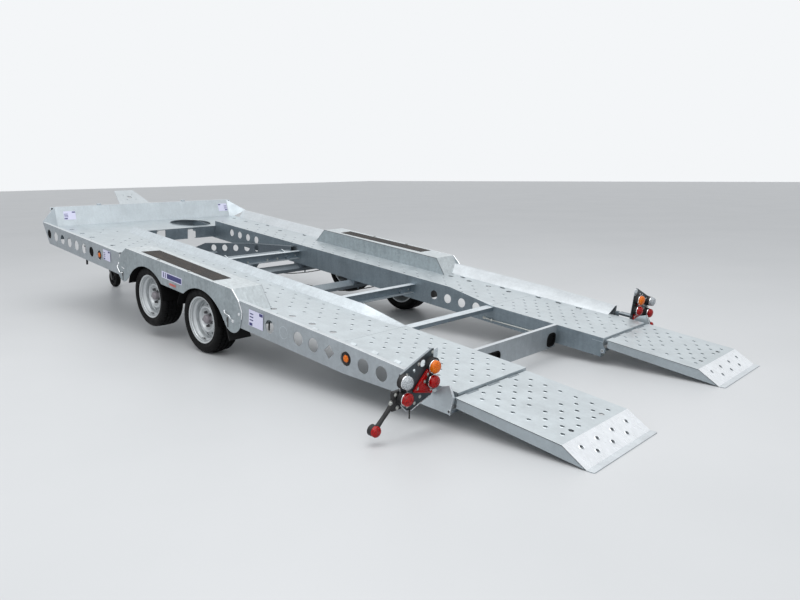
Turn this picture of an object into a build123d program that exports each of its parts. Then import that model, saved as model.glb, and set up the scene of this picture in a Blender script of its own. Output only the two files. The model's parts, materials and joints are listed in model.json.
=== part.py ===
from build123d import *
import os
from math import sin, cos, asin, atan2, radians, degrees, hypot, pi

# Tilt-bed car transporter trailer, in millimetres.
# Row frame: +X forward, +Y left, +Z up, floor at Z = 0.
# Bed frame: origin on the rear wheels' axis, u along the bed, y left, w square to the bed.
# Drawbar frame: origin on the drawbar's pivot. Ramp frame: origin on the ramps' hinge pin.
# Left-hand shapes are modelled and mirrored for the right.

# ---- driving dimensions ----
BED_TILT = 6.6            # degrees, bed nose up, as it stands for loading
DRAW_PITCH = -1.5         # degrees, drawbar nose down
WHEEL_R = 261.0           # 195/50 R13 tyre
TYRE_W = 190.0
RIM_R = 183.0             # rim flange
WHEEL_BASE = 809.0        # between the two axles
WHEEL_OUT_Y = 1206.0      # outer face of the tyres
SHEET = 4.0               # wall of the folded sheet work
PLATE = 6.0               # wall of brackets and gussets
DECK_W = 222.0            # deck top above the wheels' axis
CROSS_W = 214.0           # tops of the crossmembers
BED_FRONT_U = 3122.0      # headboard's top edge
HEAD_FOOT_U = 3050.0      # and its foot
FLOOR_BACK_U = 2480.0     # rear edge of the front floor
KNEE_U = -1480.0          # runway ends, tail begins
TAIL_U = -2470.0          # rear edge of the tail
RAIL_Y = 1237.5           # outer face of the side rails
RAIL_TOP_W = 296.0
RAIL_BOTTOM_W = 99.0
DECK_OUT_Y = 1105.0       # foot of the rail's sloped inner face
TAIL_OUT_Y = 1142.0       # side of the tail, behind the rails
INNER_Y = 489.5           # open face of the inner rails
INNER_BOTTOM_W = 82.0
HOLE_R = 41.0             # lightening holes

SIDES = {"left": 1, "right": -1}
os.makedirs("parts", exist_ok=True)

# ---- shapes ----


def prism(plane, outline, length):
    """A straight solid from an outline on a plane, along the plane's normal."""
    return extrude(plane * Polygon(*outline, align=None), amount=length, dir=plane.z_dir)


def side_plate(outline, y0, y1):
    """A plate square to Y from an outline of (x, z) points."""
    plane = Plane(origin=(0, max(y0, y1), 0), x_dir=(1, 0, 0), z_dir=(0, -1, 0))
    return prism(plane, outline, abs(y1 - y0))


def floor_plate(outline, z0, z1):
    """A level plate from an outline of (x, y) points."""
    return prism(Plane.XY.offset(min(z0, z1)), outline, abs(z1 - z0))


def beam(outline, x0, x1):
    """A bar along X from an outline of (y, z) points."""
    return prism(Plane.YZ.offset(min(x0, x1)), outline, abs(x1 - x0))


def section(outline, x):
    """A cross-section face at x from an outline of (y, z) points."""
    return Plane.YZ.offset(x) * Polygon(*outline, align=None)


def plate_3d(points, wall):
    """A flat plate on coplanar points, its wall on the side that their normal points to."""
    corners = [Vector(*p) for p in points]
    normal = (corners[1] - corners[0]).cross(corners[2] - corners[0]).normalized()
    return extrude(make_face(Polyline(*corners, close=True).edges()), amount=wall, dir=normal)


def fold(path, wall):
    """The closed outline of a sheet folded along a path, a positive wall laid to the path's left."""
    def normal(a, b):
        length = hypot(b[0] - a[0], b[1] - a[1])
        return -(b[1] - a[1]) / length, (b[0] - a[0]) / length
    last = len(path) - 1
    inner = []
    for i, (x, z) in enumerate(path):
        before = normal(path[max(i - 1, 0)], path[max(i, 1)])
        after = normal(path[min(i, last - 1)], path[min(i + 1, last)])
        scale = wall / (1 + before[0] * after[0] + before[1] * after[1])
        inner.append((x + (before[0] + after[0]) * scale, z + (before[1] + after[1]) * scale))
    return list(path) + inner[::-1]


def box(x0, x1, y0, y1, z0, z1):
    return Pos((x0 + x1) / 2, (y0 + y1) / 2, (z0 + z1) / 2) * Box(abs(x1 - x0), abs(y1 - y0), abs(z1 - z0))


def rod_x(y, z, r, x0, x1):
    return Pos((x0 + x1) / 2, y, z) * Rot(0, 90, 0) * Cylinder(r, abs(x1 - x0))


def rod_y(x, z, r, y0, y1):
    return Pos(x, (y0 + y1) / 2, z) * Rot(90, 0, 0) * Cylinder(r, abs(y1 - y0))


def rod_z(x, y, r, z0, z1):
    return Pos(x, y, (z0 + z1) / 2) * Cylinder(r, abs(z1 - z0))


def rod_between(a, b, r):
    """A round bar in the plane y = 0 from (x, z) a to b."""
    length = hypot(b[0] - a[0], b[1] - a[1])
    pitch = degrees(atan2(b[1] - a[1], b[0] - a[0]))
    return Pos(a[0], 0, a[1]) * Rot(0, -pitch, 0) * rod_x(0, 0, r, 0, length)


def ring(outline, u):
    """A ring round the axle at u, from an outline of (y, radius) points."""
    face = make_face(Polyline(*[(r, y) for y, r in outline], close=True).edges())
    return Pos(u, 0, 0) * revolve(face, Axis.Y)


def flip(shape, side):
    """A left-hand shape on the side asked for."""
    return shape if side > 0 else mirror(shape, about=Plane.XZ)


def both(shape):
    return shape + flip(shape, -1)


def save(name, place, shape):
    """Write a node, placed in the row frame."""
    solids = [place * solid for solid in shape.solids()]
    export_step(Compound(children=solids) if len(solids) > 1 else solids[0], f"parts/{name}.step")


# ---- side rails ----
RAIL_FRONT_U = 2960.0
RAIL_RAKE_U = 2806.0      # foot of the raked front end
RAIL_REAR_U = -2090.0
RAIL_TAPER_U = -1661.0
RAIL_TAPER_W = 127.0
RAIL_FLANGE = 32.0
RAIL_HOLE_W = 198.0
FRONT_HOLE_U, MARKER_LEAD = 2800.0, 238.0    # first hole, and the last one ahead of the wheel box
REAR_HOLES = (-918.0, -152.0)
HOLES_A_ROW = 8
DIAMOND = 4               # this hole of the rear row is a diamond
HEAD_HALF_Y = RAIL_Y - 183.5   # the headboard's flat part
HEAD_TOP_W = 417.0
GUARD_IN_Y = 986.0        # wheel box wall
GUARD_END = 612.0         # wheel box, past each axle
GUARD_FRONT_U = WHEEL_BASE + GUARD_END
GUARD_REAR_U = -GUARD_END
FRONT_HOLES = (FRONT_HOLE_U, -(FRONT_HOLE_U - MARKER_LEAD - GUARD_FRONT_U) / (HOLES_A_ROW - 1))


def head_u(w):
    """The headboard's inner face at w; it leans forward."""
    return HEAD_FOOT_U + (BED_FRONT_U - HEAD_FOOT_U) * (w - DECK_W) / (HEAD_TOP_W - DECK_W)


def bevel_u(y, w=DECK_W):
    """The bevelled front corner at y and w, level with the headboard and the rail's front end."""
    return head_u(w) - (y - HEAD_HALF_Y) / (RAIL_Y - HEAD_HALF_Y) * (head_u(RAIL_TOP_W) - RAIL_FRONT_U)


def bevel_plate(points, wall):
    """A plate on the bevelled corner from (y, w) points, its wall outward."""
    return plate_3d([(bevel_u(y, w), y, w) for y, w in points], wall)


RAIL_OUTLINE = [(DECK_OUT_Y, DECK_W), (RAIL_Y - RAIL_FLANGE, RAIL_TOP_W), (RAIL_Y, RAIL_TOP_W),
                (RAIL_Y, RAIL_BOTTOM_W), (RAIL_Y - 55, RAIL_BOTTOM_W)]


def wheel_box_end(u):
    """A plate across the end of the wheel box, under the deck."""
    return box(u - SHEET / 2, u + SHEET / 2, GUARD_IN_Y, RAIL_Y - SHEET / 2, RAIL_BOTTOM_W, DECK_W - SHEET)


def rail_front():
    rail = beam(fold(RAIL_OUTLINE, -SHEET), GUARD_FRONT_U, BED_FRONT_U)
    rake = [(RAIL_FRONT_U, RAIL_TOP_W), (BED_FRONT_U, RAIL_TOP_W + 9), (BED_FRONT_U, 50), (RAIL_RAKE_U - 31, 50)]
    rail -= side_plate(rake, RAIL_Y - RAIL_FLANGE - 1, RAIL_Y + 20)
    rail -= side_plate(rake, DECK_OUT_Y + 20, RAIL_Y + 20) & box(2000, 4000, 0, 2000, 0, DECK_W - 10)
    rail -= bevel_plate([(HEAD_HALF_Y, 400), (HEAD_HALF_Y, 0), (1400, 0), (1400, 400)], 400)
    for i in range(HOLES_A_ROW):
        rail -= rod_y(FRONT_HOLES[0] + FRONT_HOLES[1] * i, RAIL_HOLE_W, HOLE_R, RAIL_Y - 20, RAIL_Y + 9)
    return rail + wheel_box_end(GUARD_FRONT_U + 30)


def rail_rear():
    rail = beam(fold(RAIL_OUTLINE, -SHEET), RAIL_REAR_U, GUARD_REAR_U)
    rail -= side_plate([(RAIL_TAPER_U, 60), (RAIL_TAPER_U, RAIL_BOTTOM_W), (RAIL_REAR_U - 9, RAIL_TAPER_W),
                        (RAIL_REAR_U - 9, 60)], DECK_OUT_Y, RAIL_Y + 20)
    for i in range(HOLES_A_ROW):
        u = REAR_HOLES[0] + REAR_HOLES[1] * i
        if i == DIAMOND:
            rail -= Pos(u, RAIL_Y, RAIL_HOLE_W) * Rot(0, 45, 0) * Box(1.5 * HOLE_R, 40, 1.5 * HOLE_R)
        else:
            rail -= rod_y(u, RAIL_HOLE_W, HOLE_R, RAIL_Y - 20, RAIL_Y + 9)
    return rail + wheel_box_end(GUARD_REAR_U - 30)


# ---- inner rails, with the guide lip ----
LIP_FOOT_Y = 556.0
LIP_H = 55.0
LIP_END_U = -1055.0       # the lip starts to run out here
INNER_FLANGE = 48.0
TUBE_U, TUBE_W, TUBE_R = TAIL_U - 8.0, 131.0, 10.0    # low tube across the tail's end
INNER_HOLES = ((2138.0, -156.0, 195.0), (-894.0, -150.0, 172.0))


def inner_outline(top, lip):
    return fold([(LIP_FOOT_Y, top), (INNER_Y, top + lip), (INNER_Y, INNER_BOTTOM_W),
                 (INNER_Y + INNER_FLANGE, INNER_BOTTOM_W)], SHEET)


def inner_rail(side):
    rail = beam(inner_outline(DECK_W, LIP_H), LIP_END_U, FLOOR_BACK_U)
    rail += loft([section(inner_outline(DECK_W, LIP_H), LIP_END_U), section(inner_outline(DECK_W, 0.5), KNEE_U)],
                 ruled=True)
    rail += beam(inner_outline(DECK_W - SHEET, 0), TAIL_U + SHEET, KNEE_U)
    rail += box(FLOOR_BACK_U, HEAD_FOOT_U - 80, INNER_Y, INNER_Y + SHEET, INNER_BOTTOM_W, DECK_W - SHEET)
    rail += side_plate([(TAIL_U + 90, DECK_W - 30), (TAIL_U + 9, DECK_W - 30), (TUBE_U - 19, TUBE_W + 8),
                        (TUBE_U - 19, TUBE_W - 14), (TAIL_U + 90, INNER_BOTTOM_W)], INNER_Y - PLATE, INNER_Y)
    for first, pitch, w in INNER_HOLES:
        for i in range(4):
            rail -= rod_y(first + pitch * i, w, HOLE_R - 3, INNER_Y - 9, INNER_Y + 20)
    return flip(rail, side)


# ---- decks ----
SPARE_U, SPARE_Y, SPARE_R = 2735.0, -320.0, 225.0
FLOOR_SEAM_Y = -60.0


def runway():
    return floor_plate([(KNEE_U, LIP_FOOT_Y), (FLOOR_BACK_U, LIP_FOOT_Y), (FLOOR_BACK_U, DECK_OUT_Y),
                        (GUARD_FRONT_U, DECK_OUT_Y), (GUARD_FRONT_U, GUARD_IN_Y), (GUARD_REAR_U, GUARD_IN_Y),
                        (GUARD_REAR_U, DECK_OUT_Y), (KNEE_U, DECK_OUT_Y)], DECK_W - SHEET, DECK_W)


def tail_deck():
    """The perforated tail, a little wider behind the rails, with its rear edge and sides turned down."""
    outline = fold([(KNEE_U - 1, DECK_W), (TAIL_U, DECK_W), (TAIL_U, DECK_W - 60)], SHEET)
    plate = side_plate(outline, INNER_Y, DECK_OUT_Y)
    plate += side_plate(fold([(RAIL_REAR_U, DECK_W), (TAIL_U, DECK_W), (TAIL_U, DECK_W - 60)], SHEET),
                        DECK_OUT_Y, TAIL_OUT_Y)
    plate += side_plate([(TAIL_U, DECK_W - SHEET), (RAIL_REAR_U, DECK_W - SHEET), (RAIL_REAR_U, RAIL_TAPER_W),
                         (TAIL_U, 150)], TAIL_OUT_Y - SHEET, TAIL_OUT_Y)
    return plate


def floor_half(side):
    outline = [(FLOOR_BACK_U, DECK_OUT_Y), (bevel_u(DECK_OUT_Y), DECK_OUT_Y), (HEAD_FOOT_U, HEAD_HALF_Y),
               (HEAD_FOOT_U, FLOOR_SEAM_Y), (FLOOR_BACK_U, FLOOR_SEAM_Y)]
    if side < 0:
        outline = [(u, y if y == FLOOR_SEAM_Y else -y) for u, y in outline[::-1]]
    return floor_plate(outline, DECK_W - SHEET, DECK_W)


def floor_right():
    """The half with the spare wheel's round opening."""
    return floor_half(-1) - rod_z(SPARE_U, SPARE_Y, SPARE_R, DECK_W - 40, DECK_W + 9)


# ---- headboard and nose ----
NOSE_BOTTOM_W = 100.0


def headboard():
    u, w = BED_FRONT_U, HEAD_TOP_W
    panel = side_plate(fold([(HEAD_FOOT_U, DECK_W), (u, w), (u + 28, w)], -SHEET), -HEAD_HALF_Y - 1, HEAD_HALF_Y + 1)
    corner = bevel_plate([(HEAD_HALF_Y, w), (HEAD_HALF_Y, DECK_W), (DECK_OUT_Y, DECK_W), (RAIL_Y, RAIL_TOP_W)], SHEET)
    return panel + both(corner)


def nose_beam():
    """The channel under the front edge of the floor, notched for the drawbar's legs."""
    u = HEAD_FOOT_U
    path = [(u - 44, DECK_W - SHEET), (u, DECK_W - SHEET), (u - 50, NOSE_BOTTOM_W), (u - 80, NOSE_BOTTOM_W)]
    nose = side_plate(fold(path, -SHEET), -HEAD_HALF_Y, HEAD_HALF_Y)
    y = leg_y(u - 40 - PIVOT_U)
    return nose - both(box(u - 200, u + 90, y - 50, y + 50, 0, DECK_W - 3 * SHEET))


def winch_mount():
    """A tray ahead of the headboard on two arms, with a round hole and four bolt holes."""
    tray = plate_3d([(3440, 188, 368), (3440, -188, 368), (3735, -117, 485), (3735, 117, 485)], -PLATE)
    centre = Pos(3580, 0, 424) * Rot(0, -21.6, 0)
    tray -= centre * Cylinder(26, 60)
    for x, y in WINCH_BOLTS:
        tray -= centre * Pos(x, y, 0) * Cylinder(6.5, 60)
    skin = SHEET * hypot(1, (BED_FRONT_U - HEAD_FOOT_U) / (HEAD_TOP_W - DECK_W))
    arm = side_plate([(head_u(270) + skin, 270), (head_u(400) + skin, 400), (3440, 364), (3722, 476),
                      (3700, 440), (3440, 325)], 100, 100 + PLATE)
    return tray + both(arm)


WINCH_BOLTS = [(x, y) for x in (-55, 55) for y in (-55, 55)]

# ---- drawbar pivot and tilt ram, places shared by bed and drawbar ----
PIVOT_U = WHEEL_BASE + 206
PIVOT_W = 188.0
PIVOT_R = 26.0
PIVOT_EAR_Y = 325.0
RUN_GAP = 0.06            # radial running clearance of pins and shafts
EYE_GAP = 0.5             # and of the ram's eye
LEG_X0, LEG_X1 = -28.0, 3180.0
LEG_PLAN = ((LEG_X0, 454.5), (640.0, 454.5), (1730.0, 100.0), (LEG_X1, 57.0))  # centre line
LEG_HALF = 25.0
RAM_X, RAM_Z = 1120.0, 4.0            # rod's eye, on the drawbar
RAM_FOOT_U, RAM_FOOT_W = PIVOT_U + 47, 60.0  # cylinder's foot, on the bed
RAM_BODY = 700.0
RAM_PIN_R = 10.0


def leg_y(x):
    """A drawbar leg's centre line, straight between the points of its plan."""
    for (x0, y0), (x1, y1) in zip(LEG_PLAN[:-1], LEG_PLAN[1:]):
        if x <= x1:
            break
    return y0 + (y1 - y0) * (x - x0) / (x1 - x0)


# ---- crossmembers ----
CHANNEL_DEPTH = 78.0
BOSS_Y = 365.0
REAR_CROSS_U = RAIL_REAR_U - 4
REAR_OPENINGS = ((300.0, 160.0), (-428.0, 100.0))   # y and width
REAR_OPENING_W, REAR_OPENING_H = 116.0, 96.0


def channel(u, top, depth, flange):
    """An upright channel between the inner rails, its flanges pointing the way of flange's sign."""
    path = [(u + flange, top), (u, top), (u, top - depth), (u + flange, top - depth)]
    return side_plate(fold(path, SHEET if flange > 0 else -SHEET), -INNER_Y, INNER_Y)


def crossmember_front():
    """Carries the floor's rear edge, notched for the drawbar's legs."""
    member = channel(FLOOR_BACK_U, DECK_W - SHEET, 122, 28)
    y = leg_y(FLOOR_BACK_U - PIVOT_U)
    return member - both(box(FLOOR_BACK_U - 9, FLOOR_BACK_U + 60, y - 50, y + 50, 0, DECK_W - 2 * SHEET))


def crossmember_pivot():
    """Carries the drawbar's pivot in two ears."""
    web = PIVOT_U - 55
    ear = side_plate([(web, CROSS_W), (PIVOT_U, PIVOT_W + 42), (PIVOT_U + 30, PIVOT_W + 30),
                      (PIVOT_U + 42, PIVOT_W), (PIVOT_U + 30, PIVOT_W - 30), (PIVOT_U, PIVOT_W - 42),
                      (web, CROSS_W - CHANNEL_DEPTH)], PIVOT_EAR_Y, PIVOT_EAR_Y + 12)
    ear -= rod_y(PIVOT_U, PIVOT_W, PIVOT_R + RUN_GAP, 0, 900)
    boss = rod_x(BOSS_Y, 153, 24, web - 22, web)
    foot = side_plate([(web, 150), (PIVOT_U - 12, 140), (RAM_FOOT_U + 26, RAM_FOOT_W + 16),
                       (RAM_FOOT_U + 26, RAM_FOOT_W - 18), (RAM_FOOT_U - 16, RAM_FOOT_W - 24),
                       (web, CROSS_W - CHANNEL_DEPTH)], 28, 34)
    pin = rod_y(RAM_FOOT_U, RAM_FOOT_W, RAM_PIN_R, -34, 34)
    return channel(web, CROSS_W, CHANNEL_DEPTH, -50) + both(ear) + both(boss) + both(foot) + pin


def crossmember_axle():
    u = -620
    return channel(u, CROSS_W, CHANNEL_DEPTH, -50) + both(rod_x(BOSS_Y, 153, 24, u - 22, u))


def crossmember_tube():
    """A shallow channel on its back, flat side up."""
    u0, u1, low = KNEE_U - 34, KNEE_U + 34, CROSS_W - 30
    return side_plate(fold([(u0, low), (u0, CROSS_W), (u1, CROSS_W), (u1, low)], -SHEET), -INNER_Y, INNER_Y)


def crossmember_rear():
    """Faces rearward under the tail's front end, with two wide openings."""
    member = channel(REAR_CROSS_U, DECK_W, 170, 28)
    for y, width in REAR_OPENINGS:
        plane = Plane(origin=(REAR_CROSS_U - 9, y, REAR_OPENING_W), x_dir=(0, 1, 0), z_dir=(1, 0, 0))
        member -= extrude(plane * RectangleRounded(width, REAR_OPENING_H, 44), amount=18, dir=(1, 0, 0))
    return member


# ---- mudguards ----
GUARD_TOP_W = 360.0
GUARD_SHOULDER = 462.0    # where the flat top ends, past each axle
GUARD_HIP_W = 185.0
ARCH_R = 325.0
ARCH_DROP = 65.0
ARCH_OUT = 15.0
ARCH_MID_W = 168.0
LOBE_U, LOBE_W, LOBE_R = 478.0, 150.0, 110.0


def mudguard():
    """A drive-over guard: flat top, sloped ends, a skirt with two arches and rounded lobes."""
    mid, half = WHEEL_BASE / 2, WHEEL_BASE / 2 + GUARD_END
    shoulder = WHEEL_BASE / 2 + GUARD_SHOULDER
    skin = RAIL_Y + 1.5
    crown = [(mid - half, GUARD_HIP_W), (mid - shoulder, GUARD_TOP_W), (mid + shoulder, GUARD_TOP_W),
             (mid + half, GUARD_HIP_W)]
    skirt = side_plate(crown + [(mid + half, LOBE_W), (mid - half, LOBE_W)], skin - SHEET, skin)
    for s in (-1, 1):
        skirt += rod_y(mid + s * (mid + LOBE_U), LOBE_W, LOBE_R, skin - SHEET, skin)
    for u in (-ARCH_OUT, WHEEL_BASE + ARCH_OUT):
        skirt -= rod_y(u, -ARCH_DROP, ARCH_R, skin - 20, skin + 9)
    skirt -= box(ARCH_R / 2, WHEEL_BASE - ARCH_R / 2, skin - 20, skin + 9, 0, ARCH_MID_W)
    top = side_plate(fold(crown, -SHEET), GUARD_IN_Y, skin - SHEET)
    inner = side_plate(crown + [(mid + half, RAIL_BOTTOM_W), (mid - half, RAIL_BOTTOM_W)],
                       GUARD_IN_Y, GUARD_IN_Y + SHEET)
    return skirt + top + inner


def mudflap():
    flap = plate_3d([(-330, 1010, 70), (-330, 1200, 70), (-385, 1200, -60), (-385, 1010, -60)], 5)
    return flap + box(-345, -325, GUARD_IN_Y, 1205, 66, RAIL_BOTTOM_W)


# ---- axles ----
BEAM_LEAD = 150.0
BEAM_W = 34.0
BEAM_SIDE = 62.0
STUB_R = 20.0
BRAKE_ROD_W, BRAKE_ROD_R = -25.0, 8.0
EQUALISER = 640.0         # brake equalisers, ahead of each axle
CABLE_R = 4.5
CABLE_CLIP = (600.0, -32.0)   # where a cable passes under the beam


def axle(u):
    """A torsion beam ahead of the wheels, with trailing arms and stubs."""
    lead = u + BEAM_LEAD
    half = rod_y(u, 0, STUB_R, 930, 1120)
    half += side_plate([(lead + 34, BEAM_W + 30), (lead + 34, BEAM_W - 30), (u - 30, -30), (u - 34, 24),
                        (u + 20, 36)], 925, 955)
    half += box(lead - 80, lead + 80, 870, GUARD_IN_Y + SHEET, RAIL_BOTTOM_W - PLATE, RAIL_BOTTOM_W)
    half += box(lead - 60, lead + 60, 880, 925, BEAM_W, RAIL_BOTTOM_W)
    half += box(lead - 50, lead + 50, INNER_Y + 4, INNER_Y + 44, BEAM_W, INNER_BOTTOM_W)
    y, w = CABLE_CLIP
    half += box(lead - 5, lead + 5, y - 5, y + 5, w + CABLE_R + 0.7, BEAM_W - 40)
    half += box(lead - 8, lead + 8, -1, 15, BRAKE_ROD_W + BRAKE_ROD_R, BEAM_W - 40)
    return Pos(lead, 0, BEAM_W) * Rot(90, 0, 0) * Rot(0, 0, 45) * Box(BEAM_SIDE, BEAM_SIDE, 1880) + both(half)


def brake_rod():
    """The rod under the axles, with an equaliser bar for each."""
    rod = rod_x(0, BRAKE_ROD_W, BRAKE_ROD_R, BEAM_LEAD - 20, WHEEL_BASE + EQUALISER)
    for u in (EQUALISER, WHEEL_BASE + EQUALISER):
        rod += box(u, u + 10, -250, 250, BRAKE_ROD_W - 9, BRAKE_ROD_W + 9)
    return rod


def brake_cable(u):
    """From the equaliser back under the beam to the trailing arm."""
    path = Spline((u + EQUALISER - 2, 235, BRAKE_ROD_W), (u + 400, 335, -36), (u + 240, 430, -40),
                  (u + BEAM_LEAD, *CABLE_CLIP), (u + 60, 923, 10))
    return sweep(Plane(origin=path @ 0, z_dir=path % 0) * Circle(CABLE_R), path=path)


# ---- wheels ----
FLANGE_IN = 10.0          # rim flanges stand in from the tyre's faces
RIM_WALL = 5.0
SEAT_GAP = 0.3


def tyre(u):
    out, inn = WHEEL_OUT_Y, WHEEL_OUT_Y - TYRE_W
    bead = FLANGE_IN + RIM_WALL + SEAT_GAP
    foot = RIM_R - 15.5 + SEAT_GAP
    half = [(bead, foot), (bead, RIM_R + 1), (3, RIM_R + 14), (0, RIM_R + 36), (3, WHEEL_R - 24),
            (18, WHEEL_R - 6), (44, WHEEL_R)]
    return ring([(inn + y, r) for y, r in half] + [(out - y, r) for y, r in half[::-1]], u)


def rim(u):
    out, inn = WHEEL_OUT_Y - FLANGE_IN, WHEEL_OUT_Y - TYRE_W + FLANGE_IN
    mid = (out + inn) / 2
    seat, well, t = RIM_R - 15.5, RIM_R - 31, RIM_WALL
    path = [(out, RIM_R), (out, seat - t), (out - 28, seat - t), (out - 38, well - t), (mid - 8, well - t),
            (mid - 18, seat - t), (inn, seat - t), (inn, RIM_R)]
    barrel = ring(fold(path, -t), u)
    disc = ring([(mid + 22, 34), (mid + 22, 78), (mid + 42, 96), (mid + 12, well - t), (mid + 6, well - t),
                 (mid + 36, 94), (mid + 16, 78), (mid + 16, 34)], u)
    for i in range(10):
        a = 2 * pi * (i + 0.5) / 10
        disc -= Pos(u + 121 * cos(a), mid + 24, 121 * sin(a)) * Rot(90, 0, 0) * Cylinder(10, 60)
    bore = STUB_R + RUN_GAP
    hub = ring([(mid - 66, bore), (mid - 66, 108), (mid - 4, 108), (mid - 4, 62), (mid + 16, 62), (mid + 16, 34),
                (mid + 52, 34), (mid + 52, 0), (mid + 46, 0), (mid + 46, bore)], u)
    return barrel + disc + hub


# ---- ramps ----
RAMP_IN_Y, RAMP_OUT_Y = 503.0, 1184.0
RAMP_L = 650.0            # main plate
TOE_L = 158.0
TOE_BEND = 25.2           # degrees
TIP_L = 40.0              # lies flat on the ground
RAMP_SHEET = 5.0
SKIRT_H = 57.0
RAMP_STEP = 12.0          # the ramp's top stands below the deck's
PIN_R = 5.0
BARREL_R = 8.0
HINGE_U = TAIL_U - 15.0
HINGE_W = DECK_W - RAMP_STEP - BARREL_R
KNUCKLES = 7
# the toe's upper face where the tip begins, from the pin, rearward and down
TOE_X = RAMP_L + TOE_L * cos(radians(TOE_BEND))
TOE_DROP = TOE_L * sin(radians(TOE_BEND)) - BARREL_R


def knuckle(i):
    """The span along Y of a hinge knuckle."""
    pitch = (RAMP_OUT_Y - RAMP_IN_Y) / KNUCKLES
    return RAMP_IN_Y + i * pitch + 2, RAMP_IN_Y + (i + 1) * pitch - 2


def ramp():
    """A skirted plate with a steeper toe, and a tip that is level when it is down."""
    top, level = BARREL_R, radians(RAMP_SLOPE)
    tip = (-TOE_X - TIP_L * cos(level), -TOE_DROP + TIP_L * sin(level))
    path = [(-BARREL_R - 3, top), (-RAMP_L, top), (-TOE_X, -TOE_DROP), tip]
    body = side_plate(fold(path, RAMP_SHEET), RAMP_IN_Y, RAMP_OUT_Y)
    skirt = [(-BARREL_R - 4, top - 1), (-RAMP_L, top - 1), (-TOE_X, -TOE_DROP - 1), (-14, top - SKIRT_H)]
    for y in (RAMP_IN_Y, RAMP_OUT_Y - SHEET):
        body += side_plate(skirt, y, y + SHEET)
    for i in range(0, KNUCKLES, 2):
        y0, y1 = knuckle(i)
        leaf = box(-BARREL_R - 10, 0, y0, y1, BARREL_R - RAMP_SHEET, BARREL_R)
        body += rod_y(0, 0, BARREL_R, y0, y1) + leaf - rod_y(0, 0, PIN_R + RUN_GAP, y0 - 1, y1 + 1)
    return body


def ramp_hinge():
    """The bed's half of a ramp's hinge, with its pin."""
    part = rod_y(0, 0, PIN_R, RAMP_IN_Y, RAMP_OUT_Y)
    for i in range(1, KNUCKLES, 2):
        y0, y1 = knuckle(i)
        part += rod_y(0, 0, BARREL_R, y0, y1) + box(0, TAIL_U - HINGE_U, y0, y1, -BARREL_R, BARREL_R - SHEET)
    return Pos(HINGE_U, 0, HINGE_W) * part


GUSSET_Y = 1190.0
GUSSET = [(-2487.0, 210.0), (-2455.0, 271.0), (-2400.0, 250.0), (-2352.0, 200.0), (-2205.0, 200.0),
          (-2095.0, 190.0), (-2095.0, 127.0), (-2263.0, 100.0), (-2474.0, 107.0)]


def tail_gusset():
    """An outrigger plate beside the tail; it carries the low tube and the light board."""
    plate = side_plate([(TAIL_U + 2470 + u, w) for u, w in GUSSET], GUSSET_Y, GUSSET_Y + PLATE)
    return plate + box(TAIL_U + 100, TAIL_U + 260, TAIL_OUT_Y, GUSSET_Y, 155, 190)


def tail_tube():
    return rod_y(TUBE_U, TUBE_W, TUBE_R, INNER_Y, GUSSET_Y)


# ---- light boards, folded out beside the tail ----
BOARD_U = TAIL_U + 135    # rear face of the board
BOARD_HINGE_Y, BOARD_HINGE_W = 1192.0, 232.0
BOARD_PIN_R = 8.0
BOARD_FLANGE = 14.0
LUG_U = BOARD_U + 105      # lug on the gusset that carries the pin
LAMP_R = 36.0
LAMP_DEPTH = 58.0
LAMPS = {"amber": (1241.0, 368.0), "red_in": (1243.0, 287.0), "clear": (1453.0, 316.0), "red_out": (1449.0, 234.0)}
TRIANGLE = [(1371.0, 240.0), (1256.0, 358.0), (1211.0, 199.0)]
BOARD_OUTLINE = [(1206.0, 232.0), (1206.0, 447.0), (1222.0, 449.0), (1500.0, 352.0), (1512.0, 300.0),
                 (1505.0, 196.0), (1440.0, 182.0), (1270.0, 220.0)]


def light_board():
    board = beam(BOARD_OUTLINE, BOARD_U, BOARD_U + SHEET)
    flange = [BOARD_OUTLINE[2], BOARD_OUTLINE[3], BOARD_OUTLINE[4]]
    board += beam(fold(flange, -SHEET), BOARD_U, BOARD_U + BOARD_FLANGE)
    for y, w, r in ((1285, 395, 15), (1335, 382, 15), (1395, 358, 15)):
        board -= rod_x(y, w, r, BOARD_U - 9, BOARD_U + 20)
    barrel = rod_x(BOARD_HINGE_Y, BOARD_HINGE_W, BOARD_PIN_R + 6, BOARD_U, LUG_U - 10)
    barrel += box(BOARD_U, LUG_U - 10, BOARD_HINGE_Y - 4, BOARD_HINGE_Y + 30, BOARD_HINGE_W, BOARD_HINGE_W + 12)
    return board + barrel - rod_x(BOARD_HINGE_Y, BOARD_HINGE_W, BOARD_PIN_R + RUN_GAP, BOARD_U - 200, LUG_U + 30)


def light_hinge():
    """The bed's half of a light board's hinge: a pin in a lug on the gusset."""
    pin = rod_x(BOARD_HINGE_Y, BOARD_HINGE_W, BOARD_PIN_R, BOARD_U - 2, LUG_U + 25)
    lug = box(LUG_U, LUG_U + 20, GUSSET_Y - 8, GUSSET_Y + PLATE + 8, 200, BOARD_HINGE_W + 14)
    return pin + lug


def lamp_set():
    lamps = Compound(children=[rod_x(y, w, LAMP_R, BOARD_U - LAMP_DEPTH, BOARD_U) for y, w in LAMPS.values()])
    return lamps + beam(TRIANGLE, BOARD_U - 16, BOARD_U)


MARKER_HEAD = (1633.0, 95.0)


def side_marker_arm():
    """A rubber arm reaching out and down to a two-colour lamp."""
    foot = beam([(1468, 268), (1528, 268), (1528, 186), (1512, 176), (1468, 190)], BOARD_U + SHEET, BOARD_U + 26)
    y, w = MARKER_HEAD
    arm = beam([(1500, 222), (1520, 238), (y + 8, w + 14), (y - 14, w - 8)], BOARD_U + SHEET, BOARD_U + 26)
    return foot + arm + rod_x(y, w, 34, BOARD_U - 22, BOARD_U + 48)


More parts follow.
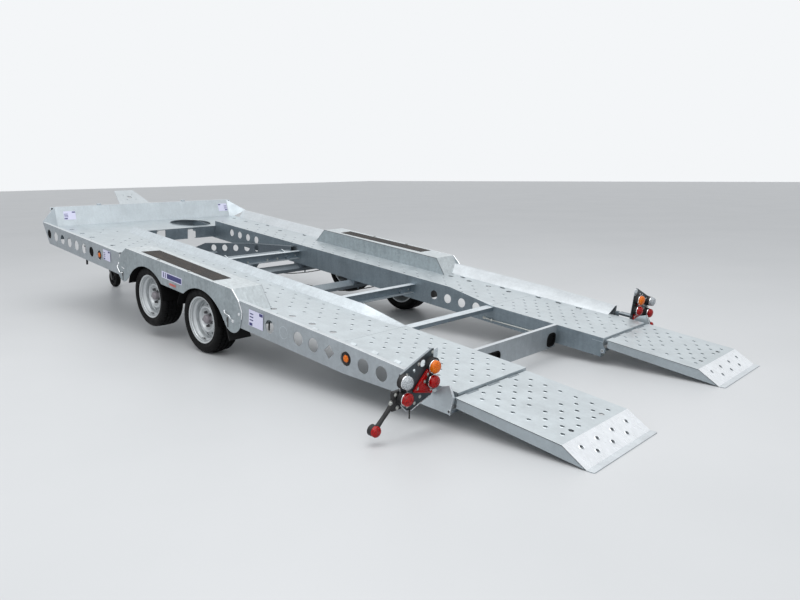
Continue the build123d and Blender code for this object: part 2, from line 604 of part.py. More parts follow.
def side_markers():
    lamp = rod_y(FRONT_HOLES[0] + 7 * FRONT_HOLES[1], RAIL_HOLE_W, 27, RAIL_Y - SHEET, RAIL_Y + 6)
    plate = rod_y(FRONT_HOLES[0] + 7 * FRONT_HOLES[1], RAIL_HOLE_W, HOLE_R + 9, RAIL_Y - SHEET - 6, RAIL_Y - SHEET)
    move = Pos(REAR_HOLES[0] + 5 * REAR_HOLES[1] - FRONT_HOLES[0] - 7 * FRONT_HOLES[1], 0, 0)
    pair = lamp + plate
    return Compound(children=[one for s in (pair, move * pair) for one in both(s).solids()])


# ---- drawbar ----
LEG_WALL = 5.0
LEG_STATIONS = ((LEG_X0, -45, 62), (LEG_PLAN[1][0], -84, 66), (1260.0, -90, 66), (1440.0, -90, 4),
                (LEG_PLAN[2][0], -86, 4), (LEG_X1, -58, 4))  # (x, bottom, top)
LEG_HOLES = (568.0, 144.7, 5, 16.0)   # first, pitch, count, height
LEG_HOLE_R = 35.0
CROSS_R = 22.0
COUPLING_X = 3430.0       # ball centre
COUPLING_TIP = 88.0
BALL_R = 25.3             # socket for a 50 mm ball
NOSE_X = 3236.0           # the head's rear face


def leg_shape(wall):
    """A cranked leg, shrunk by a wall on its inner side, top and bottom, and past its open side."""
    def outline(x, low, high):
        y0, y1 = leg_y(x) - LEG_HALF + wall, leg_y(x) + LEG_HALF + wall
        return section([(y0, low + wall), (y1, low + wall), (y1, high - wall), (y0, high - wall)], x)
    body = None
    for a, b in zip(LEG_STATIONS[:-1], LEG_STATIONS[1:]):
        piece = loft([outline(*a), outline(*b)], ruled=True)
        body = piece if body is None else body + piece
    return body


def drawbar_leg():
    """A cranked channel leg, open on its outer side, with round holes through its web."""
    body = leg_shape(0) - leg_shape(LEG_WALL)
    first, pitch, count, z = LEG_HOLES
    for i in range(count):
        body -= rod_y(first + pitch * i, z, LEG_HOLE_R, 0, 600)
    return body


LEG_STOPS = (LEG_X0 - 60, LEG_PLAN[1][0], LEG_PLAN[2][0], LEG_X1 + 200)


def drawbar_cross():
    """What joins the legs: pivot tube, cross tube with the ram's ears, tie plate and nose."""
    wide, end = leg_y(0), leg_y(LEG_X1)
    cross = rod_y(0, 0, PIVOT_R, -wide, wide) + rod_y(RAM_X, -45, CROSS_R, -wide, wide)
    cross += box(2400, 2408, -wide, wide, -62, -20)
    cross += box(LEG_X1 - 40, NOSE_X, -end - LEG_HALF, end + LEG_HALF, -58, 4)
    ear = side_plate([(RAM_X - 26, -50), (RAM_X + 26, -50), (RAM_X + 18, RAM_Z + 16), (RAM_X - 18, RAM_Z + 16)],
                     28, 34)
    cross = cross + both(ear) + rod_y(RAM_X, RAM_Z, RAM_PIN_R, -34, 34)
    keep = floor_plate([(x, s * leg_y(x)) for s in (1, -1) for x in LEG_STOPS[::s]], -200, 200)
    return (cross & keep) - both(leg_shape(0))


def coupling_head():
    x = COUPLING_X
    head = box(NOSE_X, x, -36, 36, -24, 38) + rod_z(x, 0, 42, -24, 30) + Pos(x, 0, 14) * Sphere(44)
    head += box(x, x + COUPLING_TIP, -16, 16, 6, 24) + rod_x(0, 20, 30, NOSE_X, NOSE_X + 120)
    head -= box(NOSE_X - 50, x + 200, -200, 200, -100, -24)
    return head - rod_z(x, 0, BALL_R, -60, 6) - Pos(x, 0, 6) * Sphere(BALL_R)


def brake_lever():
    """The parking brake's lever and its quadrant."""
    quadrant = side_plate([(3250, 30), (3330, 30), (3330, 74), (3290, 88), (3250, 74)], 46, 52)
    lever = side_plate([(3278, 60), (3300, 60), (3190, 290), (3166, 280)], 52, 60)
    return quadrant + lever + box(3250, 3330, 36, 46, 20, 34)


# ---- jockey wheel ----
JOCKEY_X = 2790.0
JOCKEY_R = 105.0
JOCKEY_W = 62.0
JOCKEY_TRAIL = 42.0
JOCKEY_TUBE_R, JOCKEY_STEM_R = 30.0, 24.0
JOCKEY_Y = 168.307
JOCKEY_AXLE_R = 8.0


def bed_point(u, w):
    """A point of the bed frame as (x, z) before the row frame's shift along X."""
    a = radians(BED_TILT)
    return u * cos(a) - w * sin(a), WHEEL_R + u * sin(a) + w * cos(a)


PIVOT_X, PIVOT_Z = bed_point(PIVOT_U, PIVOT_W)
TRAIL_X = JOCKEY_X - JOCKEY_TRAIL
JOCKEY_Z = (JOCKEY_R - PIVOT_Z - TRAIL_X * sin(radians(DRAW_PITCH))) / cos(radians(DRAW_PITCH))


def jockey_tube():
    """The outer tube and the clamp that holds it to the left leg."""
    tube = rod_z(JOCKEY_X, JOCKEY_Y, JOCKEY_TUBE_R, -62, 250)
    ends = (JOCKEY_X - 38, JOCKEY_X + 38)
    tube += floor_plate([(x, leg_y(x) + LEG_HALF) for x in ends] + [(x, JOCKEY_Y) for x in ends[::-1]], -62, 3)
    return tube - rod_z(JOCKEY_X, JOCKEY_Y, JOCKEY_STEM_R + RUN_GAP, -200, 400)


def jockey_stem():
    """The inner tube, with the crank on top."""
    low = JOCKEY_Z + JOCKEY_R + 34
    stem = rod_z(JOCKEY_X, JOCKEY_Y, JOCKEY_STEM_R, low, 262) + rod_z(JOCKEY_X, JOCKEY_Y, 9, 262, 300)
    stem += box(JOCKEY_X - 120, JOCKEY_X + 9, JOCKEY_Y - 7, JOCKEY_Y + 7, 290, 300)
    return stem + rod_z(JOCKEY_X - 112, JOCKEY_Y, 10, 300, 372)


def jockey_fork():
    top = JOCKEY_Z + JOCKEY_R + 34 - 0.3
    cheek = side_plate([(JOCKEY_X - 26, top - 8), (JOCKEY_X + 24, top - 8), (TRAIL_X + 18, JOCKEY_Z - 10),
                        (TRAIL_X, JOCKEY_Z - 18), (TRAIL_X - 18, JOCKEY_Z - 10)],
                       JOCKEY_Y + JOCKEY_W / 2 + 6, JOCKEY_Y + JOCKEY_W / 2 + 11)
    other = Pos(0, -JOCKEY_W - 17, 0) * cheek
    reach = JOCKEY_W / 2 + 11
    fork = cheek + other + box(JOCKEY_X - 30, JOCKEY_X + 28, JOCKEY_Y - reach, JOCKEY_Y + reach, top - 8, top)
    return fork + rod_y(TRAIL_X, JOCKEY_Z, JOCKEY_AXLE_R, JOCKEY_Y - reach, JOCKEY_Y + reach)


def jockey_wheel():
    half, r = JOCKEY_W / 2, JOCKEY_R
    bore = JOCKEY_AXLE_R + RUN_GAP
    profile = [(half, bore), (half, 24), (half - 12, 30), (half - 12, r - 32), (half, r - 26), (half, r - 10),
               (half - 10, r)]
    return Pos(0, JOCKEY_Y, JOCKEY_Z) * ring(profile + [(-y, z) for y, z in profile[::-1]], TRAIL_X)


# ---- tilt ram, in the bed frame ----
RAM_BODY_R, RAM_ROD_R = 24.0, 12.0
REST_ANGLE = radians(BED_TILT - DRAW_PITCH)
RAM_EYE_U = PIVOT_U + RAM_X * cos(REST_ANGLE) + RAM_Z * sin(REST_ANGLE)
RAM_EYE_W = PIVOT_W - RAM_X * sin(REST_ANGLE) + RAM_Z * cos(REST_ANGLE)
RAM_LENGTH = hypot(RAM_EYE_U - RAM_FOOT_U, RAM_EYE_W - RAM_FOOT_W)
RAM_PITCH = degrees(atan2(RAM_EYE_W - RAM_FOOT_W, RAM_EYE_U - RAM_FOOT_U))


def ram_body():
    """The cylinder, along +X from its foot."""
    body = rod_x(0, 0, RAM_BODY_R, 30, RAM_BODY) + rod_y(0, 0, 19, -22, 22) + box(0, 34, -18, 18, -14, 14)
    body -= rod_y(0, 0, RAM_PIN_R + RUN_GAP, -40, 40)
    return body - rod_x(0, 0, RAM_ROD_R + RUN_GAP, 60, RAM_BODY + 9)


def ram_rod():
    rod = rod_x(0, 0, RAM_ROD_R, 70, RAM_LENGTH - 15) + rod_y(RAM_LENGTH, 0, 19, -22, 22)
    return rod - rod_y(RAM_LENGTH, 0, RAM_PIN_R + EYE_GAP, -40, 40)


# ---- placing ----
HINGE_X, HINGE_Z = bed_point(HINGE_U, HINGE_W)
RAMP_SLOPE = degrees(asin((HINGE_Z - RAMP_SHEET) / hypot(TOE_X, TOE_DROP)) - atan2(TOE_DROP, TOE_X))
FRONT_X = PIVOT_X + (COUPLING_X + COUPLING_TIP) * cos(radians(DRAW_PITCH)) - 24 * sin(radians(DRAW_PITCH))
BACK_X = HINGE_X - TOE_X * cos(radians(RAMP_SLOPE)) + TOE_DROP * sin(radians(RAMP_SLOPE)) - TIP_L
SHIFT_X = -(FRONT_X + BACK_X) / 2

BED = Location((SHIFT_X, 0, WHEEL_R), (0, -BED_TILT, 0))
DRAW = Location((SHIFT_X + PIVOT_X, 0, PIVOT_Z), (0, -DRAW_PITCH, 0))
RAMP = Location((SHIFT_X + HINGE_X, 0, HINGE_Z), (0, -RAMP_SLOPE, 0))
RAM_FOOT_X, RAM_FOOT_Z = bed_point(RAM_FOOT_U, RAM_FOOT_W)
RAM = Location((SHIFT_X + RAM_FOOT_X, 0, RAM_FOOT_Z), (0, -BED_TILT - RAM_PITCH, 0))


def main():
    for name, side in SIDES.items():
        save(f"rail_front_{name}", BED, flip(rail_front(), side))
        save(f"rail_rear_{name}", BED, flip(rail_rear(), side))
        save(f"inner_rail_{name}", BED, inner_rail(side))
        save(f"runway_{name}", BED, flip(runway(), side))
        save(f"tail_deck_{name}", BED, flip(tail_deck(), side))
        save(f"mudguard_{name}", BED, flip(mudguard(), side))
        save(f"ramp_{name}", RAMP, flip(ramp(), side))
        save(f"light_board_{name}", BED, flip(light_board(), side))
        save(f"lamp_set_{name}", BED, flip(lamp_set(), side))
        save(f"marker_arm_{name}", BED, flip(side_marker_arm(), side))
        save(f"drawbar_leg_{name}", DRAW, flip(drawbar_leg(), side))
        for row, u in (("front", WHEEL_BASE), ("rear", 0)):
            save(f"tyre_{row}_{name}", BED, flip(tyre(u), side))
            save(f"rim_{row}_{name}", BED, flip(rim(u), side))
    save("ramp_hinges", BED, both(ramp_hinge()))
    save("light_hinges", BED, both(light_hinge()))
    save("tail_gussets", BED, both(tail_gusset()))
    save("mudflaps", BED, both(mudflap()))
    save("side_markers", BED, side_markers())
    save("tail_tubes", BED, both(tail_tube()))
    save("front_floor_left", BED, floor_half(1))
    save("front_floor_right", BED, floor_right())
    save("headboard", BED, headboard())
    save("nose_beam", BED, nose_beam())
    save("winch_mount", BED, winch_mount())
    save("crossmember_front", BED, crossmember_front())
    save("crossmember_pivot", BED, crossmember_pivot())
    save("crossmember_axle", BED, crossmember_axle())
    save("crossmember_tube", BED, crossmember_tube())
    save("crossmember_rear", BED, crossmember_rear())
    save("axle_front", BED, axle(WHEEL_BASE))
    save("axle_rear", BED, axle(0))
    save("brake_rod", BED, brake_rod())
    save("brake_cables", BED, both(brake_cable(0)) + both(brake_cable(WHEEL_BASE)))
    save("drawbar_cross", DRAW, drawbar_cross())
    save("coupling_head", DRAW, coupling_head())
    save("brake_lever", DRAW, brake_lever())
    save("jockey_tube", DRAW, jockey_tube())
    save("jockey_stem", DRAW, jockey_stem())
    save("jockey_fork", DRAW, jockey_fork())
    save("jockey_wheel", DRAW, jockey_wheel())
    save("ram_body", RAM, ram_body())
    save("ram_rod", RAM, ram_rod())


main()
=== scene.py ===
import json
from math import atan2, cos, degrees, hypot, pi, radians, sin

import bmesh
import bpy
from mathutils import Matrix, Vector


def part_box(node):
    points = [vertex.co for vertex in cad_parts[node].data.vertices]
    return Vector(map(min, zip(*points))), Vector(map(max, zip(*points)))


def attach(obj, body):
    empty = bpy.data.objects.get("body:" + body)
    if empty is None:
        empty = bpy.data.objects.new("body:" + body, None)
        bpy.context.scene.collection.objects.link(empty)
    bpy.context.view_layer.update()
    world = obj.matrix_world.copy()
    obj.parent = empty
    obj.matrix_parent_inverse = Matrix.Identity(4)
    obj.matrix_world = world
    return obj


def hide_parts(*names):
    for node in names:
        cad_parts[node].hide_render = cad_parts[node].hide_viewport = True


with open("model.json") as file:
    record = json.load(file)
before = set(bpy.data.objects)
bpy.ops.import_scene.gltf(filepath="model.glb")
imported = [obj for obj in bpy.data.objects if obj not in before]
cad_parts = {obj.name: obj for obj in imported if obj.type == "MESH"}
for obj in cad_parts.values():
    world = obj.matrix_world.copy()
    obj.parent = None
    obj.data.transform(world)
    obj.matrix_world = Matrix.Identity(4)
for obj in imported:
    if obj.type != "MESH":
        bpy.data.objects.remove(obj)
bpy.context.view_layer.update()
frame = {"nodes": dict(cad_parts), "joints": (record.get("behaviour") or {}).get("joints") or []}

# ---- frames: local millimetres to the row frame's metres ----
SIDES = {"left": 1, "right": -1}
WHEEL_BASE = 809.0
TILT, DRAW_PITCH, RAMP_SLOPE = 6.6, -1.5, 8.1466
joints = {j["name"]: j for j in frame["joints"]}


def at(x, y, z):
    return Matrix.Translation((x, y, z))


def turn(angle, axis):
    """A rotation in degrees."""
    return Matrix.Rotation(radians(angle), 4, axis)


def joint_at(name):
    return Vector(joints[name]["pos_m"])


def local(origin, pitch):
    """Millimetres from an origin on the middle plane, x raised by a pitch in degrees."""
    return at(origin.x, 0, origin.z) @ turn(-pitch, "Y") @ Matrix.Scale(0.001, 4)


def mirrored(place, sign):
    return place @ Matrix.Diagonal((1, sign, 1, 1))


low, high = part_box("tyre_rear_left")
rear_wheel = (Vector(low) + Vector(high)) / 2
BED = local(rear_wheel, TILT)
DRAW = local(joint_at("drawbar_tilt"), DRAW_PITCH)
RAMP = local(joint_at("ramp_left_fold"), RAMP_SLOPE)
TO_Y = turn(-90, "X")     # local z along +y
TO_X = turn(90, "Y")      # local z along +x
REAR = turn(-90, "Y")     # local z along -x, local x up


def aimed(direction, track="Z", up="Y"):
    """A turn that points the track axis along a direction."""
    return direction.to_track_quat(track, up).to_matrix().to_4x4()


# ---- shapes, as (vertices, faces) ----


def joined(*shapes):
    verts, faces = [], []
    for v, f in shapes:
        faces += [[i + len(verts) for i in face] for face in f]
        verts += v
    return verts, faces


def moved(shape, matrix):
    return [matrix @ Vector(v) for v in shape[0]], shape[1]


def turns(n, start=0):
    """Angles that share out a full turn, from a part of a step."""
    return [2 * pi * (i + start) / n for i in range(n)]


def circle(x, y, r, n=18, start=0):
    return [(x + r * cos(a), y + r * sin(a)) for a in turns(n, start)]


def slot(x, y, length, width, angle, n=7):
    """A round-ended slot."""
    half, r = (length - width) / 2, width / 2
    points = [(half + r * cos(a), r * sin(a)) for a in [(-0.5 + i / n) * pi for i in range(n + 1)]]
    points += [(-px, -py) for px, py in points]
    c, s = cos(radians(angle)), sin(radians(angle))
    return [(x + px * c - py * s, y + px * s + py * c) for px, py in points]


def rounded(points, r, n=4):
    """An outline with its corners rounded."""
    out = []
    for i, p in enumerate(points):
        p = Vector(p)
        a = (Vector(points[i - 1]) - p).normalized()
        b = (Vector(points[(i + 1) % len(points)]) - p).normalized()
        for k in range(n + 1):
            t = k / n
            out.append(tuple(p + a * r * (1 - t) ** 2 + b * r * t ** 2))
    return out


def rectangle(x, y, length, height, r, n=4):
    """A rounded rectangle about its middle."""
    half, tall = length / 2, height / 2
    return rounded([(x - half, y - tall), (x + half, y - tall), (x + half, y + tall), (x - half, y + tall)], r, n)


def plate(outline, holes=(), thick=4.0, edge=0.5):
    """A flat plate in XY with holes and eased edges, from z = 0 down to -thick."""
    curve = bpy.data.curves.new("plate", "CURVE")
    curve.dimensions, curve.fill_mode = "2D", "BOTH"
    curve.extrude, curve.bevel_depth, curve.bevel_resolution = thick / 2 - edge, edge, 0
    curve.offset = -edge
    for loop in [outline, *holes]:
        spline = curve.splines.new("POLY")
        spline.points.add(len(loop) - 1)
        for point, (x, y) in zip(spline.points, loop):
            point.co = (x, y, 0, 1)
        spline.use_cyclic_u = True
    holder = bpy.data.objects.new("plate", curve)
    mesh = bpy.data.meshes.new_from_object(holder)
    verts = [v.co - Vector((0, 0, thick / 2)) for v in mesh.vertices]
    faces = [list(p.vertices) for p in mesh.polygons]
    bpy.data.objects.remove(holder)
    bpy.data.curves.remove(curve)
    bpy.data.meshes.remove(mesh)
    return verts, faces


def lofted(sections):
    """A closed body through outlines of equal count."""
    n = len(sections[0])
    verts = [Vector(p) for section in sections for p in section]
    faces = [[i * n + k, i * n + (k + 1) % n, (i + 1) * n + (k + 1) % n, (i + 1) * n + k]
             for i in range(len(sections) - 1) for k in range(n)]
    return verts, faces + [list(range(n))[::-1], list(range(len(verts) - n, len(verts)))]


def prism(outline, z0, z1):
    return lofted([[(x, y, z) for x, y in outline] for z in (z0, z1)])


def lathe(profile, n, closed=True):
    """A ring round z from (radius, z) points."""
    verts = [Vector((r * cos(a), r * sin(a), z)) for a in turns(n) for r, z in profile]
    m = len(profile)
    last = m if closed else m - 1
    faces = [[i * m + j, ((i + 1) % n) * m + j, ((i + 1) % n) * m + (j + 1) % m, i * m + (j + 1) % m]
             for i in range(n) for j in range(last)]
    return verts, faces


def turned(profile, n=48):
    """A turned solid from an open (radius, z) profile that starts and ends on the axis."""
    return lathe(profile, n, closed=False)


def even(half):
    """A profile and its mirror image in z = 0."""
    return half + [(r, -z) for r, z in half[::-1]]


def barrel(inner, outer, length, n):
    """A hinge barrel on z with eased ends."""
    return lathe([(inner, 0), (outer - 0.6, 0), (outer, 0.6), (outer, length - 0.6), (outer - 0.6, length),
                  (inner, length)], n)


def disc(r, low, high, n=40):
    return turned([(0, low), (r, low), (r, high), (0, high)], n)


def block(x0, x1, y0, y1, z0, z1, edge):
    """A box with eased edges."""
    bm = bmesh.new()
    bmesh.ops.create_cube(bm, size=1.0)
    size = Vector((x1 - x0, y1 - y0, z1 - z0))
    middle = Vector(((x0 + x1) / 2, (y0 + y1) / 2, (z0 + z1) / 2))
    for v in bm.verts:
        v.co = Vector([c * s for c, s in zip(v.co, size)]) + middle
    bmesh.ops.bevel(bm, geom=bm.edges[:], offset=min(edge, min(size) * 0.45), segments=2, affect="EDGES",
                    profile=0.7)
    shape = [v.co.copy() for v in bm.verts], [[v.index for v in f.verts] for f in bm.faces]
    bm.free()
    return shape


def tube(points, r, n, smooth=8):
    """A round bar along points, its bends rounded."""
    points = [Vector(p) for p in points]
    path = [points[0]]
    for a, b, c in zip(points, points[1:], points[2:]):
        reach = min((a - b).length, (c - b).length, 5 * r) * 0.45
        p, q = b + (a - b).normalized() * reach, b + (c - b).normalized() * reach
        path += [p.lerp(b, t).lerp(b.lerp(q, t), t) for t in [k / smooth for k in range(smooth + 1)]]
    path.append(points[-1])
    direction = (path[1] - path[0]).normalized()
    side = direction.orthogonal().normalized()
    rings = []
    for i, p in enumerate(path):
        ahead = (path[min(i + 1, len(path) - 1)] - path[max(i - 1, 0)]).normalized()
        side = (side - ahead * side.dot(ahead)).normalized()
        other = ahead.cross(side)
        rings.append([p + r * (side * cos(a) + other * sin(a)) for a in turns(n)])
    return lofted(rings)


def band(inner, outer, high):
    """A ring with its outer edges eased."""
    return lathe([(inner, 0), (outer, 1), (outer, high - 1), (inner, high)], 36)


def bolt(r, high, washer=True):
    """A hexagon head with a chamfered top, standing on z = 0, on a washer."""
    head = turned([(0, 0.2), (r, 0.2), (r, high - 1.5), (r - 2, high), (0, high)], 6)
    if not washer:
        return head
    ring = turned([(0, 0), (r + 5, 0), (r + 5, 1.6), (r + 4.4, 2), (0, 2)], 20)
    return joined(moved(head, at(0, 0, 1.8)), ring)


def bolts(r, high, places):
    """Bolt heads of one size."""
    return [moved(bolt(r, high), place) for place in places]


def fold(path, wall):
    """The closed outline of a folded sheet, the wall to the path's left."""
    def normal(a, b):
        length = hypot(b[0] - a[0], b[1] - a[1])
        return -(b[1] - a[1]) / length, (b[0] - a[0]) / length
    last = len(path) - 1
    inner = []
    for i, (x, z) in enumerate(path):
        before = normal(path[max(i - 1, 0)], path[max(i, 1)])
        after = normal(path[min(i, last - 1)], path[min(i + 1, last)])
        scale = wall / (1 + before[0] * after[0] + before[1] * after[1])
        inner.append((x + (before[0] + after[0]) * scale, z + (before[1] + after[1]) * scale))
    return path + inner[::-1]


def upright(outline, y0, y1):
    """A plate square to y from (x, z) points."""
    return moved(prism([(x, -z) for x, z in outline], y0, y1), TO_Y)


def arc(x, y, r, start, end, n=20):
    """Points along an arc, in degrees."""
    steps = [radians(start + (end - start) * i / n) for i in range(n + 1)]
    return [(x + r * cos(a), y + r * sin(a)) for a in steps]


def piece(name, shape, place, body, material, replaces=(), sharp=35.0):
    """A mesh object in the row frame that rides a body."""
    mesh = bpy.data.meshes.new(name)
    mesh.from_pydata([place @ v for v in shape[0]], [], shape[1])
    bm = bmesh.new()
    bm.from_mesh(mesh)
    bmesh.ops.remove_doubles(bm, verts=bm.verts, dist=2e-6)
    bmesh.ops.dissolve_degenerate(bm, edges=bm.edges, dist=1e-6)
    bmesh.ops.recalc_face_normals(bm, faces=bm.faces)
    bm.to_mesh(mesh)
    bm.free()
    mesh.shade_smooth()
    mesh.set_sharp_from_angle(angle=radians(sharp))
    thing = bpy.data.objects.new(name, mesh)
    bpy.context.scene.collection.objects.link(thing)
    mesh.materials.append(material)
    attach(thing, body)
    if replaces:
        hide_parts(*replaces)


def both(name, shape, material, replaces="", body="bed", place=BED, sides=SIDES, sharp=35.0):
    """The same piece on the left and mirrored on the right; the side ends its name and fills the body's {}."""
    for side in sides:
        nodes = [f"{replaces}_{side}"] if replaces else ()
        piece(f"{name}_{side}", shape, mirrored(place, SIDES[side]), body.format(side), material, nodes, sharp)


# ---- materials ----


def linear(r, g, b):
    """A colour given from 0 to 255, in linear light."""
    def one(c):
        c /= 255
        return c / 12.92 if c <= 0.04045 else ((c + 0.055) / 1.055) ** 2.4
    return one(r), one(g), one(b), 1.0


def shade(colour, factor):
    """A linear colour made darker or lighter."""
    return tuple(min(c * factor, 1.0) for c in colour[:3]) + (1.0,)


class Nodes:
    """Shader nodes in the tree of a material or a world."""

    def __init__(self, owner):
        owner.use_nodes = True
        self.tree = owner.node_tree
        self.tree.nodes.clear()

    def set(self, node, key, value):
        """Link an input to a socket, or set it to a value."""
        if isinstance(value, bpy.types.NodeSocket):
            self.tree.links.new(value, node.inputs[key])
        else:
            node.inputs[key].default_value = value

    def add(self, kind, inputs=(), **settings):
        node = self.tree.nodes.new(kind)
        for key, value in settings.items():
            setattr(node, key, value)
        for key, value in dict(inputs).items():
            self.set(node, key, value)
        return node

    def math(self, operation, a, b, clamp=False):
        return self.add("ShaderNodeMath", {0: a, 1: b}, operation=operation, use_clamp=clamp).outputs[0]


class Look(Nodes):
    """A material built round one Principled shader."""

    def __init__(self, name, **inputs):
        self.material = bpy.data.materials.new(name)
        super().__init__(self.material)
        self.shader = self.add("ShaderNodeBsdfPrincipled")
        self.add("ShaderNodeOutputMaterial", {0: self.shader.outputs[0]})
        self.where = self.add("ShaderNodeTexCoord")
        self.finish(**inputs)

    def finish(self, **inputs):
        """Set or link the shader's inputs, _ standing for a space in their names."""
        for key, value in inputs.items():
            self.set(self.shader, key.replace("_", " "), value)

    def spots(self, kind, scale, stretch=(1, 1, 1), **inputs):
        """A texture over the object's own coordinates."""
        mapping = self.add("ShaderNodeMapping", {"Vector": self.where.outputs["Object"], "Scale": stretch})
        return self.add(kind, {"Vector": mapping.outputs[0], "Scale": scale, **inputs})

    def noise(self, scale, detail, stretch=(1, 1, 1), **inputs):
        return self.spots("ShaderNodeTexNoise", scale, stretch, Detail=detail, **inputs).outputs["Fac"]

    def crystals(self, scale):
        """A random level in each cell."""
        cells = self.spots("ShaderNodeTexVoronoi", scale)
        return self.add("ShaderNodeSeparateColor", {"Color": cells.outputs["Color"]}).outputs[0]

    def swing(self, value, amount):
        """How far a value is from one half, times an amount."""
        return self.math("MULTIPLY", self.math("SUBTRACT", value, 0.5), amount)

    def spread(self, value, low, high, out_low=0, out_high=1):
        """A value between low and high taken to another range, clamped to it."""
        ends = {"From Min": low, "From Max": high, "To Min": out_low, "To Max": out_high}
        return self.add("ShaderNodeMapRange", {"Value": value, **ends}).outputs[0]

    def gloss(self, scale, detail, low, high):
        """Roughness that wanders between two levels."""
        self.finish(Roughness=self.spread(self.noise(scale, detail), 0.3, 0.7, low, high))

    def mix(self, factor, a, b):
        return self.add("ShaderNodeMix", {0: factor, 6: a, 7: b}, data_type="RGBA").outputs[2]

    def bump(self, height, strength, distance):
        node = self.add("ShaderNodeBump", {"Height": height, "Strength": strength, "Distance": distance})
        self.finish(Normal=node.outputs[0])

    def painted_top_light_mask(self):
        """How far the surface faces up, in the object's own axes; it makes tops lighter and sides darker, painted
        light and shade.
        """
        split = self.add("ShaderNodeSeparateXYZ", {"Vector": self.where.outputs["Normal"]})
        return self.spread(split.outputs["Z"], 0.1, 0.85)


def galvanised(name, top, side, spangle=0.18, cell=75, rough=(0.36, 0.56), dirt=0.35, drip=0):
    """Hot-dip galvanised steel: crystals, cloudy patches, faint runs, drips and grey weathering. Upward faces take
    the lighter top colour and the rest the darker side colour, as painted light and shade.
    """
    top, side = linear(*top), linear(*side)
    look = Look(f"galvanised_{name}", Metallic=0.72)
    level = look.swing(look.crystals(cell), spangle)
    cloud = look.swing(look.noise(5, 5, Roughness=0.6), 0.9)
    fine = look.swing(look.noise(260, 2), 0.22)
    runs = look.swing(look.noise(9, 3, (0.5, 5, 1)), 0.35)
    total = look.math("ADD", look.math("ADD", level, cloud), look.math("ADD", fine, runs))
    if drip:
        drips = look.noise(6, 5, (5, 5, 0.5), Roughness=0.65)
        total = look.math("ADD", total, look.swing(drips, drip))
    total = look.math("ADD", total, 0.5, clamp=True)
    # lighter top colour on upward faces, darker side colour elsewhere: painted light and shade
    up = look.painted_top_light_mask()
    dark = look.mix(up, shade(side, 0.78), shade(top, 0.84))
    light = look.mix(up, shade(side, 1.18), shade(top, 1.12))
    grey = look.mix(up, shade(side, 0.70), shade(top, 0.66))
    grime = look.spread(look.noise(2.6, 6, Roughness=0.7), 0.52, 0.74, 0, dirt)
    look.finish(Base_Color=look.mix(grime, look.mix(total, dark, light), grey))
    look.gloss(14, 4, *rough)
    look.bump(look.math("ADD", look.crystals(cell), look.noise(320, 2)), 0.12, 0.0006)
    return look.material


GALV_DECK = galvanised("deck", (200, 207, 210), (168, 177, 182))
GALV_RAIL = galvanised("rail", (210, 215, 218), (166, 173, 178), spangle=0.24, drip=0.5)
# inner rails and crossmembers: sides far darker than tops, painted shade and a painted reflection of a dark floor
GALV_INNER = galvanised("inner", (210, 217, 221), (134, 146, 154), spangle=0.3, drip=1.1)
GALV_CROSS = galvanised("cross", (214, 221, 225), (128, 140, 149), spangle=0.3, drip=0.9)
GALV_GUARD = galvanised("guard", (206, 212, 214), (158, 167, 171), spangle=0.45, cell=55, drip=1.5)
# brighter zinc: painted highlight on the ramp toes, board edge, gusset edges and mudguard bead; also the pale corner
# bracket
GALV_PALE_AND_HIGHLIGHT = galvanised("toe", (236, 239, 242), (205, 211, 215), spangle=0.3, cell=50,
                      rough=(0.22, 0.38), dirt=0.12)
GALV_DARK = galvanised("frame", (152, 160, 165), (112, 122, 130), spangle=0.3, drip=0.6)
# light board much darker than the rest, its upright faces most of all: painted shade
GALV_BOARD = galvanised("board", (140, 147, 152), (74, 81, 86), spangle=0.2)
GALV_HEAD = galvanised("head", (206, 212, 215), (192, 201, 206), spangle=0.16)


def plain(name, colour, rough=(0.35, 0.55), vary=0.12, scale=40, bump=0.08, **inputs):
    """One finish with faint unevenness in colour, gloss and height."""
    colour = linear(*colour)
    look = Look(name, **inputs)
    look.finish(Base_Color=look.mix(look.noise(scale, 4), shade(colour, 1 - vary), shade(colour, 1 + vary)))
    look.gloss(scale * 0.4, 3, *rough)
    look.bump(look.noise(scale * 8, 3), bump, 0.0005)
    return look.material


ZINC = plain("zinc_fastener", (186, 188, 184), (0.25, 0.42), scale=90, Metallic=0.85)
# black paint, and also black stand-ins for the dark inside of pin holes and mudguard slots: painted shade
BLACK_PAINT_AND_SHADE = plain("black_paint_and_shade", (34, 35, 37), (0.28, 0.5), vary=0.25, Coat_Weight=0.2)
CAST_DARK = plain("cast_dark", (46, 46, 48), (0.5, 0.75), vary=0.3, bump=0.3, Metallic=0.4)
RUBBER = plain("moulded_rubber", (27, 27, 28), (0.5, 0.72), vary=0.3, bump=0.15)
BOLT_DARK = plain("wheel_bolt_steel", (88, 88, 90), (0.35, 0.5), vary=0.2, Metallic=0.7)
# flat black: painted shade in the wheel arches, behind the crossmember openings and behind the ear holes; also the
# rubber edging and rail plugs
BLACK_AND_SHADE = plain("black_and_painted_shade", (9, 9, 10), (0.75, 0.9), vary=0.2, Specular_IOR_Level=0.15)
CHROME = plain("chrome", (225, 227, 229), (0.06, 0.14), vary=0.03, Metallic=1)
SILVER = plain("rim_silver", (190, 194, 196), (0.3, 0.46), vary=0.08, scale=30, Metallic=0.55)
HUB_GREY = plain("hub_grey", (142, 137, 142), (0.4, 0.6), Metallic=0.4)
LABEL_WHITE = plain("label_white", (214, 214, 236), (0.3, 0.4), vary=0.04)
LABEL_BLUE = plain("label_blue", (38, 38, 104), (0.3, 0.4), vary=0.06)
LABEL_RED = plain("label_red", (188, 92, 84), (0.35, 0.5), vary=0.1)


